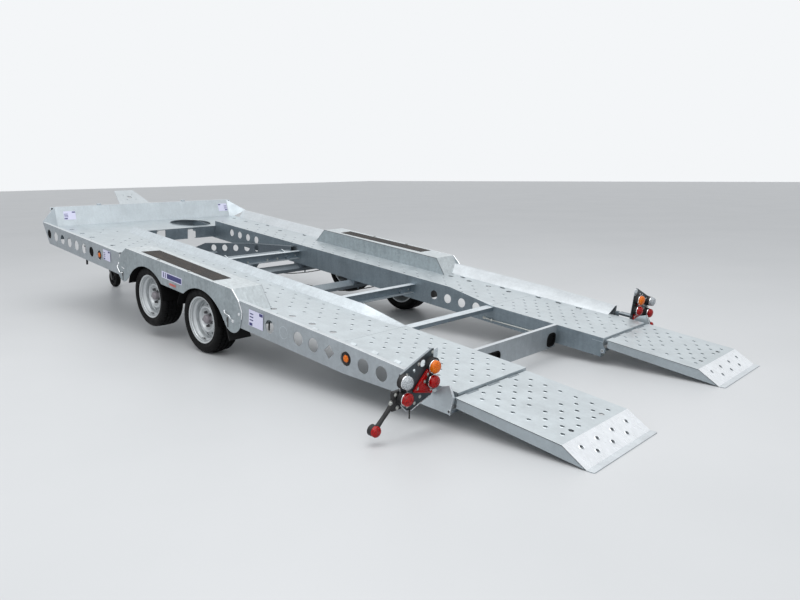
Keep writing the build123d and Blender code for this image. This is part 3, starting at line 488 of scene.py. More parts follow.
def tyre_rubber():
    """Tread rubber with pale dust in patches."""
    look = Look("tyre_rubber", Specular_IOR_Level=0.14)
    dust = look.spread(look.noise(22, 5), 0.45, 0.75, 0, 0.4)
    look.finish(Base_Color=look.mix(dust, linear(7, 7, 8), linear(17, 17, 17)))
    look.gloss(30, 3, 0.5, 0.72)
    look.bump(look.noise(420, 3), 0.18, 0.0006)
    return look.material


def grit():
    """Anti-slip tape: dark grains with worn brownish patches."""
    look = Look("anti_slip", Roughness=0.85)
    worn = look.spread(look.noise(9, 5, (1, 2.5, 1)), 0.42, 0.72)
    base = look.mix(worn, linear(46, 43, 41), linear(74, 64, 56))
    grains = look.noise(900, 2)
    look.finish(Base_Color=look.mix(look.spread(grains, 0.35, 0.65), shade(linear(58, 56, 54), 0.6), base))
    look.bump(grains, 0.8, 0.0012)
    return look.material


def lens(name, colour, deep):
    """A coloured lens with small moulded prisms."""
    look = Look(f"lens_{name}", Roughness=0.12, Specular_IOR_Level=0.3, IOR=1.45, Coat_Weight=0.15)
    prisms = look.spots("ShaderNodeTexVoronoi", 210).outputs["Distance"]
    look.finish(Base_Color=look.mix(look.spread(prisms, 0.1, 0.7), linear(*colour), linear(*deep)))
    look.bump(prisms, 0.5, 0.0015)
    return look.material


GRIT = grit()
TYRE = tyre_rubber()
RED = lens("red", (206, 0, 2), (118, 0, 0))
AMBER = lens("amber", (246, 140, 0), (196, 82, 0))
CLEAR = lens("clear", (214, 218, 222), (140, 146, 150))

# every CAD node that stays visible gets its finish here
FINISH = {GALV_RAIL: ("crossmember_rear",),
          GALV_INNER: ("inner_rail_left", "inner_rail_right"),
          GALV_CROSS: ("crossmember_front", "crossmember_pivot", "crossmember_axle", "crossmember_tube", "nose_beam"),
          GALV_HEAD: ("headboard", "winch_mount", "tail_gussets"),
          GALV_DARK: ("drawbar_leg_left", "drawbar_leg_right", "drawbar_cross", "axle_front", "axle_rear",
                      "ramp_hinges", "light_hinges", "tail_tubes", "jockey_tube", "jockey_stem", "brake_rod"),
          RUBBER: ("mudflaps", "brake_cables", "marker_arm_left", "marker_arm_right"),
          BLACK_PAINT_AND_SHADE: ("ram_body", "jockey_fork", "brake_lever", "coupling_head"),
          CHROME: ("ram_rod",)}
for material, names in FINISH.items():
    for name in names:
        mesh = frame["nodes"][name].data
        mesh.materials.clear()
        mesh.materials.append(material)

# ---- decks and floor ----
DECK_W, SHEET = 222, 4
KNEE_U, TAIL_U, RAIL_REAR_U, FLOOR_BACK_U = -1480, -2470, -2090, 2480
INNER_Y, LIP_FOOT_Y, DECK_OUT_Y, TAIL_OUT_Y, GUARD_IN_Y = 489.5, 556, 1105, 1142, 986
GUARD_FRONT_U, GUARD_REAR_U = WHEEL_BASE + 469, -612
GRIP_R, LASH_R, LASH_Y, SLOT_Y = 11, 24, 992, 1066
RUNWAY_SLOTS, TAIL_SLOTS = (-745, -1190, 1560, 2250), (-1560, -1755, -1945)
RUNWAY_ROWS = ((624, -1418), (708, -1335), (792, -1418), (875, -1335))     # y, first u
TAIL_ROWS = ((563, -1545), (641, -1602), (718, -1545), (795, -1602), (872, -1545), (949, -1602))
RUNWAY_PITCH, TAIL_PITCH = 166, -115.5
FLOOR_HOLE, FLOOR_HOLE_R = (2735, -320), 225
TOP = BED @ at(0, 0, DECK_W)


def grip_rows(rows, pitch, steps, r=GRIP_R):
    """Grip holes (x, y, r) in rows along x, each from its own start."""
    return [(first + pitch * i, y, r) for y, first in rows for i in steps]


def dimple(x, y, r):
    """The drawn rim of a grip hole: a low crest outside, a short neck below."""
    ring = [(r - 0.3, 1.6), (r + 0.6, 2.2), (r + 2, 1.6), (r + 5, 0.05), (r + 5, -1), (r + 1.2, -1.2), (r + 1, -11),
            (r - 0.3, -11)]
    return moved(lathe(ring, 16), at(x, y, 0))


def gripped(outline, grips, others=(), thick=SHEET):
    """A plate with drawn grip holes and plain ones."""
    sheet = plate(outline, [circle(*grip) for grip in grips] + list(others), thick)
    return joined(sheet, *[dimple(*grip) for grip in grips])


def deck(outline, grips, others, slots, angle):
    """A deck plate with lashing slots under low hoods, pressed up from the outer edge and open inwards."""
    others = others + [slot(u, SLOT_Y, 46, 20, angle) for u in slots]
    hood = [(SLOT_Y + 13, -1), (SLOT_Y - 9, 8.5), (SLOT_Y - 9, 6.2), (SLOT_Y + 11, -3)]
    hoods = [lofted([[(u + end, y, z) for y, z in hood] for end in (-25, 25)]) for u in slots]
    return joined(gripped(outline, grips, others), *hoods)


holes = [circle(u, 1005, LASH_R, 24) for u in (-651, -867, -1083, -1299)]
holes += [circle(u, LASH_Y, LASH_R, 24) for u in (1911, 2365)]
outline = [(KNEE_U, LIP_FOOT_Y), (FLOOR_BACK_U, LIP_FOOT_Y), (FLOOR_BACK_U, DECK_OUT_Y),
           (GUARD_FRONT_U, DECK_OUT_Y), (GUARD_FRONT_U, GUARD_IN_Y), (GUARD_REAR_U, GUARD_IN_Y),
           (GUARD_REAR_U, DECK_OUT_Y), (KNEE_U, DECK_OUT_Y)]
runway = deck(outline, grip_rows(RUNWAY_ROWS, RUNWAY_PITCH, range(22)), holes, RUNWAY_SLOTS, 3)
both("runway_plate", runway, GALV_DECK, "runway", place=TOP)

grips = grip_rows(TAIL_ROWS, TAIL_PITCH, range(8)) + [(u, 1030, GRIP_R) for u in (-2120, -2235, -2350)]
outline = [(KNEE_U - 2, INNER_Y), (KNEE_U - 2, DECK_OUT_Y), (RAIL_REAR_U, DECK_OUT_Y), (RAIL_REAR_U, TAIL_OUT_Y),
           (TAIL_U, TAIL_OUT_Y), (TAIL_U, INNER_Y)]
tail = deck(outline, grips, [], TAIL_SLOTS, 8)
under = DECK_W - SHEET
lip = block(TAIL_U, TAIL_U + SHEET, INNER_Y, TAIL_OUT_Y, DECK_W - 60, under + 0.5, 0.8)
cheek = upright([(TAIL_U, under), (RAIL_REAR_U, under), (RAIL_REAR_U, 127), (TAIL_U, 150)],
                TAIL_OUT_Y - SHEET, TAIL_OUT_Y)
both("tail_plate", joined(moved(tail, at(0, 0, DECK_W)), lip, cheek), GALV_DECK, "tail_deck")

holes = [circle(u, sign * LASH_Y, LASH_R, 24) for u in (2593, 2847) for sign in (1, -1)]
holes += [circle(u, sign * y, GRIP_R) for sign in (1, -1) for u, y in ((2560, 640), (2560, 820), (2700, 730))]
holes.append(circle(*FLOOR_HOLE, FLOOR_HOLE_R, 64))
front = [(FLOOR_BACK_U, DECK_OUT_Y), (3018, DECK_OUT_Y), (3048, 1054)]
floor_sheet = plate(front + [(u, -y) for u, y in front[::-1]], holes, SHEET)
rim_ring = lathe([(FLOOR_HOLE_R, -3), (229, -3), (232, 2), (232, 5), (227, 7), (FLOOR_HOLE_R, 5)], 64)
piece("front_floor_plate", joined(floor_sheet, moved(rim_ring, at(*FLOOR_HOLE, 0))), TOP, "bed", GALV_DECK,
      ["front_floor_left", "front_floor_right"])

# ---- ramps ----
RAMP_IN_Y, RAMP_OUT_Y, RAMP_MID_Y = 503, 1184, 843.5
RAMP_L, TOE_L, TOE_BEND, TIP_L, RAMP_SHEET, BARREL_R, SKIRT_H = 650, 158, 25.2, 40, 5, 8, 57
TOE_X = RAMP_L + TOE_L * cos(radians(TOE_BEND))
TOE_DROP = TOE_L * sin(radians(TOE_BEND)) - BARREL_R
ODD_ROWS, EVEN_ROWS, RAMP_PITCH, VENT_U = (610, 768, 924, 1078), (690, 846, 1002), -98.5, -594


def ramp_sheet(x0, x1, grips, others=()):
    """A sheet over the ramp's whole width."""
    outline = [(x0, RAMP_IN_Y), (x0, RAMP_OUT_Y), (x1, RAMP_OUT_Y), (x1, RAMP_IN_Y)]
    return gripped(outline, grips, others, RAMP_SHEET)


def ramp_shapes():
    """The main plate, the toe bent down from it and the tip level with the ground."""
    grips = grip_rows([(y, -98) for y in ODD_ROWS], RAMP_PITCH, range(6), 12)
    grips += grip_rows([(y, -50) for y in EVEN_ROWS], RAMP_PITCH, (0, 1, 2, 4, 5), 12)
    main = ramp_sheet(-BARREL_R - 3, -RAMP_L, grips, [circle(VENT_U, y, 15, 22) for y in (690, 1002)])
    grips = [(-54, y, 12.5) for y in ODD_ROWS] + [(-108, y, 12.5) for y in EVEN_ROWS]
    toe = moved(ramp_sheet(2, -TOE_L, grips), at(-RAMP_L, 0, BARREL_R) @ turn(-TOE_BEND, "Y"))
    half = (RAMP_OUT_Y - RAMP_IN_Y) / 2
    outline = [(1, -half), (1, half)] + rounded([(-TIP_L, half), (-TIP_L, -half), (1, -half), (1, half)], 12)[:10]
    tip = moved(plate(outline, [], RAMP_SHEET), at(-TOE_X, RAMP_MID_Y, -TOE_DROP) @ turn(RAMP_SLOPE, "Y"))
    return moved(main, at(0, 0, BARREL_R)), toe, tip


def skirt_shape(y):
    """The ramp's side, deepest at the hinge."""
    return upright([(-BARREL_R - 4, BARREL_R - 1), (-RAMP_L, BARREL_R - 1), (-TOE_X, -TOE_DROP - 1),
                    (-14, BARREL_R - SKIRT_H)], y, y + SHEET)


def ramp_knuckles():
    """The ramp's four of seven hinge barrels, each with a leaf to the plate."""
    pitch, shapes = (RAMP_OUT_Y - RAMP_IN_Y) / 7, []
    for i in range(0, 7, 2):
        y0, y1 = RAMP_IN_Y + i * pitch + 2, RAMP_IN_Y + (i + 1) * pitch - 2
        shapes.append(moved(barrel(5.1, BARREL_R, y1 - y0, 24), at(0, y0, 0) @ TO_Y))
        shapes.append(block(-BARREL_R - 12, -2, y0, y1, BARREL_R - RAMP_SHEET, BARREL_R - 0.2, 0.5))
    return shapes


main, toe, tip = ramp_shapes()
skirts = [skirt_shape(RAMP_IN_Y), skirt_shape(RAMP_OUT_Y - SHEET)]
both("ramp_plate", joined(main, *skirts, *ramp_knuckles()), GALV_DECK, "ramp", "ramp_{}", RAMP)
# the toe in the brighter zinc: painted highlight
both("ramp_toe", toe, GALV_PALE_AND_HIGHLIGHT, body="ramp_{}", place=RAMP)
both("ramp_tip", tip, GALV_RAIL, body="ramp_{}", place=RAMP)

# ---- wheels ----
WHEEL_MID_Y = 1111
AXLES = {"front": WHEEL_BASE, "rear": 0}
TREAD_STEPS, BLOCK_STEPS = 216, 6


def tyre_shape():
    """A carcass with four tread grooves and sipes cut across the ribs."""
    profile = even([
        (168, 79.7), (184, 79.7), (187, 84), (192, 91), (196, 92.5), (198, 91.6), (206, 94.4), (219, 95), (229, 93.8),
        (233, 92.2), (235, 93), (241, 90.5), (248, 86), (254, 79), (257.5, 71), (258.6, 62), (258.8, 58), (252.5, 57),
        (252.5, 51.5), (259.6, 50.5), (260.4, 36), (260.6, 23), (253, 22), (253, 15), (260.8, 14), (261, 5)])
    verts, faces = lathe(profile, TREAD_STEPS)
    m = len(profile)
    shoulder = {j for j in range(m) if profile[j][0] > 255 and abs(profile[j][1]) > 57.5}
    ribs = {j for j in range(m) if profile[j][0] > 259 and abs(profile[j][1]) < 51}
    for i in range(TREAD_STEPS):
        for j in shoulder | ribs:
            lag = 0 if j in shoulder else (3 if profile[j][1] > 0 else 1)
            if (i + lag) % BLOCK_STEPS == 0:
                v = verts[i * m + j]
                v.xy *= 1 - (5 if j in shoulder else 3.2) / hypot(v.x, v.y)
    return verts, faces


def rim_shape():
    """Barrel, dished disc with round vents, and a centre."""
    out, seat, well, t = 85, 162.5, 147, 4.5
    face = [(184, out - 1.5), (183, out), (178, out - 0.5), (172, out - 3), (seat + 2, out - 10), (seat, out - 16),
            (seat, 58), (seat - 3, 54), (well + 3, 49), (well, 44), (well, -9), (well + 3, -14), (seat - 2, -19),
            (seat, -24), (seat, 12 - out), (172, 3 - out), (178, -out), (183, -out), (184, 1.5 - out)]
    back = [(183, 5 - out), (177, 6 - out), (172, 10 - out), (seat + t + 0.5, 18 - out), (seat + t, -26),
            (well + t + 2, -16), (well + t, -8), (well + t, 43), (seat + t, 56), (seat + t + 0.5, out - 18),
            (172, out - 10), (177, out - 6), (183, out - 5)]
    bed = lathe(face + back, 96)
    vents = [circle(x, y, 11.5) for x, y in circle(0, 0, 121, 10, 0.5)]
    web = plate(circle(0, 0, well + 2, 120), [circle(0, 0, 101, 120)] + vents, 4, 0.4)
    web = ([Vector((v.x, v.y, v.z + 12 + (well - hypot(v.x, v.y)) * 0.62)) for v in web[0]], web[1])
    dish = lathe([(102, 40.2), (97, 42.5), (92, 42), (86, 37), (81, 26), (76, 20), (70, 18.5), (36, 18.5), (33, 20),
                  (31, 20), (31, 13), (72, 13.5), (79, 16), (84, 22), (88, 33), (93, 37), (97, 37.6),
                  (102, 35.5)], 96)
    lip = lathe([(well - 0.5, 6), (well - 0.5, 16), (well - 4, 18), (well - 7, 14), (well - 5, 6)], 96)
    valve = moved(turned([(0, 0), (5, 0), (5, 12), (3, 16), (3, 26), (0, 26)], 14),
                  at(0, 153, 52) @ turn(18, "X"))
    return joined(bed, web, dish, lip), valve


def hub_shape():
    cap = turned([(0, 56), (18, 55.6), (29, 53), (34.5, 47), (36, 41), (36.5, 22), (39, 18.6), (39, 10), (0, 10)])
    drum = turned([(0, 10), (62, 10), (62, -5), (104, -5), (108, -9), (108, -20), (111, -22), (111, -30), (108, -32),
                   (108, -62), (104, -66), (0, -66)], 72)
    return cap, drum


def wheel_bolts(n=5, circle_r=56):
    """Bolt heads on their cones, round the hub."""
    head = moved(bolt(10.5, 15, washer=False), at(0, 0, 6))
    one = joined(turned([(0, 0), (13.5, 0), (12, 5), (10.5, 7), (0, 7)], 24), head)
    return joined(*[moved(one, at(x, y, 18.5)) for x, y in circle(0, 0, circle_r, n, 0.25)])


tyre, (rim, valve), (cap, drum) = tyre_shape(), rim_shape(), hub_shape()
for row, u in AXLES.items():
    hub = at(u, WHEEL_MID_Y, 0) @ TO_Y
    for name, shape, material, node, sharp in (
            ("tyre_tread", tyre, TYRE, f"tyre_{row}", 28), ("wheel_rim", rim, SILVER, f"rim_{row}", 40),
            ("wheel_valve", valve, RUBBER, "", 35), ("hub_cap", cap, HUB_GREY, "", 35),
            ("brake_drum", drum, CAST_DARK, "", 35), ("wheel_bolts", wheel_bolts(), BOLT_DARK, "", 35)):
        both(f"{name}_{row}", moved(shape, hub), material, node, f"wheel_{row}_{{}}", sharp=sharp)

# ---- light boards ----
BOARD_U = TAIL_U + 135
BOARD_PIN = (1192, 232)
BOARD = [(1178, 210), (1190, 424), (1206, 450), (1229, 454), (1462, 357), (1470, 300), (1456, 249), (1446, 182),
         (1404, 141), (1359, 133), (1290, 160), (1206, 184), (1203, 210)]
LAMPS = {"amber": (1240, 364, AMBER), "red_in": (1238, 280, RED), "clear": (1452, 322, CLEAR),
         "red_out": (1442, 228, RED)}
LAMP_DEPTH = 30
TRIANGLE = [(1371, 240), (1256, 358), (1211, 199)]
TRIANGLE_BOLTS = ((1262, 318), (1284, 282), (1338, 254), (1226, 224))
BOARD_BOLTS = ((1420, 345), (1330, 386), (1398, 290), (1225, 432), (1418, 190), (1395, 164), (1340, 168),
               (1300, 196), (1404, 262))
ARM_BOLTS = ((1488, 252), (1462, 238), (1468, 176))


def on_board(y, w, out=0):
    """A place on the board's rear face, local z rearward."""
    return at(BOARD_U - out, y, w) @ REAR


def lens_shape(r, low, high):
    """A stepped dome with concentric ridges."""
    profile = [(0, high)]
    for k in range(1, 7):
        rk = (r - 3) * k / 7
        drop = (high - low) * 0.32 * (rk / r) ** 2
        profile += [(rk - 0.8, high - drop), (rk, high - drop - 0.9), (rk + 0.8, high - drop - 0.2)]
    profile += [(r - 2, high - (high - low) * 0.34), (r, high - (high - low) * 0.45), (r, low), (0, low)]
    return turned(profile, 40)


def lamp_housing(r):
    return turned([(0, 0), (r, 0), (r, 4), (r - 2, 6), (r - 2, LAMP_DEPTH - 5), (r, LAMP_DEPTH - 3),
                   (r, LAMP_DEPTH), (r - 4, LAMP_DEPTH), (0, LAMP_DEPTH)], 40)


def triangle_outline(grow):
    middle = Vector((sum(p[0] for p in TRIANGLE) / 3, sum(p[1] for p in TRIANGLE) / 3))
    points = [middle + (Vector(p) - middle) * grow for p in TRIANGLE]
    return rounded([(p.y, p.x) for p in points], 14, 5)


def board_shape():
    """The lamp plate with its top flange, hinge barrel and leaf."""
    y, w = BOARD_PIN
    holes = [circle(w, y, 8.3, 24), circle(384, 1296, 20, 28), circle(356, 1362, 11), circle(340, 1404, 11)]
    sheet = plate([(pw, py) for py, pw in BOARD], holes, SHEET)
    flange = prism(fold([(454, 1229), (357, 1462), (300, 1470)], SHEET), -14, -0.6)
    pin = moved(barrel(8.2, 14, 95, 28), at(BOARD_U, y, w) @ TO_X)
    leaf = block(BOARD_U + 2, BOARD_U + 94, y + 9, y + 30, w + 3, w + 12, 1)
    return joined(moved(joined(sheet, flange), on_board(0, 0)), pin, leaf)


def board_highlight_and_bracket():
    """A bright tube along the lower edge as painted highlight, and the pale corner bracket behind the amber lamp."""
    edge = tube([(BOARD_U - 1, y, w) for y, w in BOARD[5:11]] + [(BOARD_U - 1, 1222, 180)], 2.4, 8, 4)
    bracket = plate(rectangle(425, 1204, 54, 36, 10))
    return joined(edge, moved(bracket, on_board(0, 0, 5)))


def on_boards(name, shape, material, replaces=""):
    both(name, shape, material, replaces, "light_board_{}")


on_boards("light_board_plate", board_shape(), GALV_BOARD, "light_board")
on_boards("light_board_trim", board_highlight_and_bracket(), GALV_PALE_AND_HIGHLIGHT)
housings, rings = [], []
for lamp, (y, w, look) in LAMPS.items():
    r, base = (40, on_board(y - 4, w + 8)) if lamp == "amber" else (39, on_board(y, w))
    housings.append(moved(lamp_housing(r), base))
    ring = lathe([(35, 28), (38.5, 28), (38.5, 32), (37.5, 34), (35.5, 34), (35, 32)], 40)
    rings.append(moved(ring, on_board(y, w)))
    on_boards(f"lens_{lamp}", moved(lens_shape(35.5, LAMP_DEPTH, 64), on_board(y, w)), look)
housings.append(tube([(BOARD_U - 6, 1380, 150), (BOARD_U - 8, 1382, 122), (BOARD_U - 4, 1376, 92)], 4, 10))
on_boards("lamp_housings", joined(*housings), RUBBER, "lamp_set")
on_boards("lamp_rings", joined(*rings), CHROME)
rim = plate(triangle_outline(1), [triangle_outline(0.80)], 13, 1.5)
on_boards("triangle_rim", moved(rim, on_board(0, 0, 15.5)), RED)
on_boards("triangle_face", moved(plate(triangle_outline(0.82), [], 8), on_board(0, 0, 12)), RED)
heads = bolts(4.5, 3, [on_board(y, w, 12) for y, w in TRIANGLE_BOLTS])
heads += bolts(5, 4, [on_board(y, w) for y, w in BOARD_BOLTS])
heads += bolts(7, 5, [on_board(y, w, -4.5) for y, w in ARM_BOLTS]) + bolts(9, 7, [on_board(1517, 213, -8)])
on_boards("light_board_bolts", joined(*heads), ZINC)

# ---- tail: gusset flanges, pin eyes, low tube ends, in bright zinc as painted highlight; black discs in the holes as painted shade ----
PIN_EYE, TUBE_END = at(-2461, 1195, 124) @ TO_Y, at(TAIL_U - 8, 475.5, 131) @ TO_Y
flange = upright(fold([(-2455, 271), (-2487, 210), (-2474, 107)], 3), 1190, 1206)
eye = lathe([(8, 0), (13, 0), (13, 2.5), (11, 4), (8, 4)], 28)
end = lathe([(6.5, 0), (12, 0), (12, 6), (10, 8), (6.5, 8)], 28)
both("gusset_edge_highlight", joined(flange, moved(eye, PIN_EYE), moved(end, TUBE_END)), GALV_PALE_AND_HIGHLIGHT)
# black discs in the pin eye and tube end: painted shade in the holes
hole_shades = joined(moved(disc(8, 0, 2, 24), PIN_EYE), moved(disc(6.5, 2.5, 6.5, 24), TUBE_END))
both("pin_hole_shade", hole_shades, BLACK_PAINT_AND_SHADE)

# ---- rear crossmember: rubber edging round its openings, black blanks behind them as painted shade ----
CROSS_U, OPENING_W, OPENING_H, EDGING = RAIL_REAR_U - 4, 116, 96, 6
edging_and_shade = []
for y, width in ((300, 160), (-428, 100)):
    outer, inner = [rectangle(OPENING_W, y, OPENING_H - 2 * g, width - 2 * g, 40 - g, 8) for g in (-EDGING, EDGING)]
    edging_and_shade.append(moved(plate(outer, [inner], 12, 2), at(CROSS_U - 5, 0, 0) @ REAR))
    # a black blank closing the opening from behind: painted shade
    edging_and_shade.append(moved(plate(outer, [], 3), at(CROSS_U + 9, 0, 0) @ REAR))
piece("opening_edging_and_shade", joined(*edging_and_shade), BED, "bed", BLACK_AND_SHADE)

# ---- side marker lamps in the rails' holes ----
RAIL_Y, RAIL_HOLE_W = 1237.5, 198
FRONT_HOLE_U, FRONT_PITCH, REAR_HOLE_U, REAR_PITCH = 2800, -163, -918, -152
MARKER_U = {"front": FRONT_HOLE_U + FRONT_PITCH * 7, "rear": REAR_HOLE_U + REAR_PITCH * 5}
rubber = turned([(0, -16), (40, -16), (44, -12), (44, -5), (40.5, -4), (39, -4.5), (36, -7), (27, -8), (25.5, -2),
                 (24, -1.5), (24, -6), (0, -6)], 40)
dome = turned([(0, 6), (7, 5.6), (9, 4.6), (11, 5), (15, 3.8), (17, 2.8), (20, 1.6), (23, -1.5), (23, -7),
               (0, -7)], 40)
for side, sign in SIDES.items():
    for row, u in MARKER_U.items():
        place = mirrored(BED, sign) @ at(u, RAIL_Y, RAIL_HOLE_W) @ TO_Y
        covered = ["side_markers"] if side == "left" and row == "front" else []
        piece(f"marker_rubber_{row}_{side}", rubber, place, "bed", RUBBER, covered)
        piece(f"marker_lens_{row}_{side}", dome, place, "bed", AMBER)

# ---- side marker arms on the boards ----
HEAD_Y, HEAD_W, HEAD_R = 1614, 82, 30
head = at(BOARD_U + 13, HEAD_Y, HEAD_W)
shell = [(0, 0), (HEAD_R - 3, 0), (HEAD_R - 0.5, 3), (HEAD_R, 8), (HEAD_R, 27), (HEAD_R - 2, 29), (0, 29)]
start, end = Vector((0, 1488, 206)), Vector((0, HEAD_Y - 12, HEAD_W + 14))
stalk = turned([(0, -20), (14, -18), (16, -8), (15, 20), (13, 45), (12, 110), (13, 130), (14, 150), (0, 166)], 24)
arm = joined(block(BOARD_U + 4.5, BOARD_U + 26, 1432, 1505, 160, 268, 6),
             moved(stalk, at(BOARD_U + 15, start.y, start.z) @ aimed(end - start, up="X")),
             moved(turned(shell, 36), head @ TO_X))
on_boards("marker_rubber_arm", arm, RUBBER, "marker_arm")
on_boards("marker_head_lens", moved(lens_shape(HEAD_R - 0.5, 0, 28), head @ REAR), RED)

# ---- mudguards: skirts, black arch sheets as painted shade, grip strips, bright edges as painted highlight, latches ----
GUARD_TOP_W, SKIN_Y, RAIL_BOTTOM_W = 360, 1242, 99
ARCH_R, ARCH_W = 388, -124
ARCHES = ((WHEEL_BASE - 33, 35.6, 129.6), (-61, 50.4, 144.4))     # middle u, first and last degree
SHOULDER_REAR_U, SHOULDER_FRONT_U = -475, 1128
REAR_END = [(SHOULDER_REAR_U, GUARD_TOP_W), (-560, 291), (-603, 215), (-597, 168)]
FRONT_END = [(1279, 168), (1270, 215), (1231, 287), (SHOULDER_FRONT_U, GUARD_TOP_W)]


def on_skin(u, w, out=0):
    """A place on the mudguard's skirt, local x along -u, y up, z outward."""
    return at(u, SKIN_Y + out, w) @ Matrix(((-1, 0, 0, 0), (0, 0, 1, 0), (0, 1, 0, 0), (0, 0, 0, 1)))


def guard_skirt():
    """The skirt's outline in (u, w): curved ends, a round lobe at each, two arches."""
    front_lobe, rear_lobe = (1185, 150, 94), (-482, 150, 110)
    arches = [point for u, low, high in ARCHES for point in arc(u, ARCH_W, ARCH_R, low, high)]
    outline = FRONT_END[::-1] + arc(*front_lobe, 0, -150) + arches + arc(*rear_lobe, -25, -180) + REAR_END[::-1]
    return moved(plate([(-u, w) for u, w in outline], [], SHEET, 0.8), on_skin(0, 0))


def guard_shape():
    """Skirt, flat top with its sloped ends, the wall beside the deck and the ends of the wheel box."""
    slopes = [(GUARD_REAR_U, 190), (SHOULDER_REAR_U, GUARD_TOP_W), (SHOULDER_FRONT_U, GUARD_TOP_W),
              (GUARD_FRONT_U - 2, 190)]
    top = upright(fold(slopes, -SHEET), GUARD_IN_Y, SKIN_Y - SHEET + 0.5)
    wall = upright(slopes + [(GUARD_FRONT_U - 2, RAIL_BOTTOM_W), (GUARD_REAR_U, RAIL_BOTTOM_W)], GUARD_IN_Y,
                   GUARD_IN_Y + SHEET)
    ends = [block(u, u + SHEET, GUARD_IN_Y, SKIN_Y - 2 * SHEET, RAIL_BOTTOM_W, 216, 0.5)
            for u in (GUARD_FRONT_U - 14, GUARD_REAR_U + 8)]
    return joined(guard_skirt(), top, wall, *ends)


def arch_shade_shape(u):
    """A black sheet over a wheel: painted shade in the arch."""
    return upright(arc(u, 0, 294, 12, 174, 40) + arc(u, 0, 290, 174, 12, 40), 1000, SKIN_Y - SHEET - 1)


def guard_latch():
    """The catch at each lobe: a bent handle, a staple, bolts and the strip up the rear end."""
    rear = [(-392, -1, 186), (-394, 9, 182), (-406, 10, 168), (-458, 10, 162), (-474, 9, 146), (-476, -1, 138)]
    front = [(1282, -1, 180), (1278, 9, 172), (1226, 10, 126), (1204, 10, 128), (1196, -1, 132)]
    staple = [(1190, -1, 186), (1190, 8, 184), (1160, 8, 178), (1158, -1, 178)]
    strip = [(u - 1, -1, w) for u, w in REAR_END]
    bars = [tube([(u, SKIN_Y + out, w) for u, out, w in path], r, n)
            for path, r, n in ((rear, 4.2, 12), (front, 4.2, 12), (staple, 3.5, 12), (strip, 4.5, 10))]
    heads = bolts(8, 6, [on_skin(-493, 127)]) + bolts(7, 5, [on_skin(1262, 200), on_skin(-568, 196)])
    return joined(*bars, *heads)


def keyhole_shade(u):
    """A black plate in the shape of an upright slot, widened at its top: painted shade for the opening."""
    return joined(moved(plate(slot(0, 0, 78, 15, 90), [], 1.2, 0.2), on_skin(u, 104, 0.9)),
                  moved(plate(slot(-5, 12, 44, 24, 90), [], 1, 0.2), on_skin(u, 108, 0.7)))


tape = plate([(-206, 1066), (918, 1038), (937, 1196), (-204, 1217)], [], 1.2, 0.2)
both("grip_strip", moved(tape, at(0, 0, GUARD_TOP_W + 1.2)), GRIT)
both("guard", guard_shape(), GALV_GUARD, "mudguard")
both("wheel_arch_shade", joined(*[arch_shade_shape(u) for u in AXLES.values()]), BLACK_AND_SHADE)
# a rolled edge in the brighter zinc: painted highlight
bead_highlight = tube([(u, SKIN_Y - 3.2, w - 1.6) for u, w in REAR_END[::-1] + FRONT_END[::-1]], 3.2, 10)
both("guard_bead_highlight", bead_highlight, GALV_PALE_AND_HIGHLIGHT)
tabs = [block(u - 9, u + 9, 1216, 1234, GUARD_TOP_W, GUARD_TOP_W + 8, 2.5) for u in (592, 129)]
both("guard_tabs", joined(*tabs), ZINC)
both("guard_latch", guard_latch(), CHROME)
both("guard_slot_shade", joined(keyhole_shade(-430), keyhole_shade(1189)), BLACK_PAINT_AND_SHADE)

# ---- blank labels on mudguard, rails and headboard ----
RAIL_LABEL_OUT = -1.5
HEAD_FACE = at(3050, 0, DECK_W) @ Matrix.Rotation(-atan2(195, 72), 4, "Y")


def label_parts(place, boxes, r, out):
    """Thin plates, one for each (x, y, length, height) on the label's face."""
    return joined(*[moved(plate(rectangle(*box, r), [], 1, 0.2), place @ at(0, 0, out)) for box in boxes])


def block_label(name, place, length, height, bars, sides=SIDES):
    """A plain pale label with dark printed blocks, no lettering."""
    both(name, label_parts(place, [(0, 0, length, height)], 3, 1.2), LABEL_WHITE, sides=sides)
    both(f"{name}_blocks", label_parts(place, bars, 1.5, 1.7), LABEL_BLUE, sides=sides)


def lines(x, rows, length, height):
    return [(x, y, length, height) for y in rows]


block_label("guard_label", on_skin(358, 263), 308, 54, [(38, 0, 218, 40), (-126, 0, 14, 40), (-96, 0, 12, 40)])
both("guard_mark", label_parts(on_skin(344, 206), [(0, 0, 96, 18)], 3, 1.2), LABEL_RED)
block_label("rail_label_front", on_skin(1497, 225, RAIL_LABEL_OUT), 140, 94,
            [(46, 36, 34, 14), (-46, -36, 30, 14), *lines(-44, (18, 2, -14), 34, 6)])
block_label("rail_label_rear", on_skin(-768, 208, RAIL_LABEL_OUT), 164, 116,
            [(58, 44, 40, 20), (-56, -44, 36, 20), *lines(-50, (30, 8, -14), 40, 8)])
for side, y in (("left", 911), ("right", 980)):
    block_label("head_label", HEAD_FACE @ at(112, y, 0) @ turn(-90, "Z"), 124, 92,
                [(44, 34, 34, 12), (-44, -34, 34, 12), *lines(-38, (16, 0, -14), 40, 6)], [side])

# ---- rail posts, and the latch rods under the tail ----
ROD_Y = 480
post = joined(tube([(2004, 1204, 216), (2000, 1206, 40)], 9, 16), block(1986, 2020, 1190, 1220, 210, 219, 2))
both("rail_post", post, CAST_DARK)
rod = tube([(u, ROD_Y, w) for u, w in ((KNEE_U + 40, 110), (-1512, 109), (-1640, 112), (-1906, 118), (-2088, 122))],
           4.5, 12)
ball = moved(turned([(0, -11), (8, -8), (11, 0), (8, 8), (0, 11)], 20), at(-1514, ROD_Y, 109))
feet = [block(u, u + 20, ROD_Y - 4, ROD_Y + 10, low, low + 20, 2) for u, low in ((KNEE_U + 30, 100), (-1900, 108))]
both("latch_rod", joined(rod, ball, *feet), ZINC)

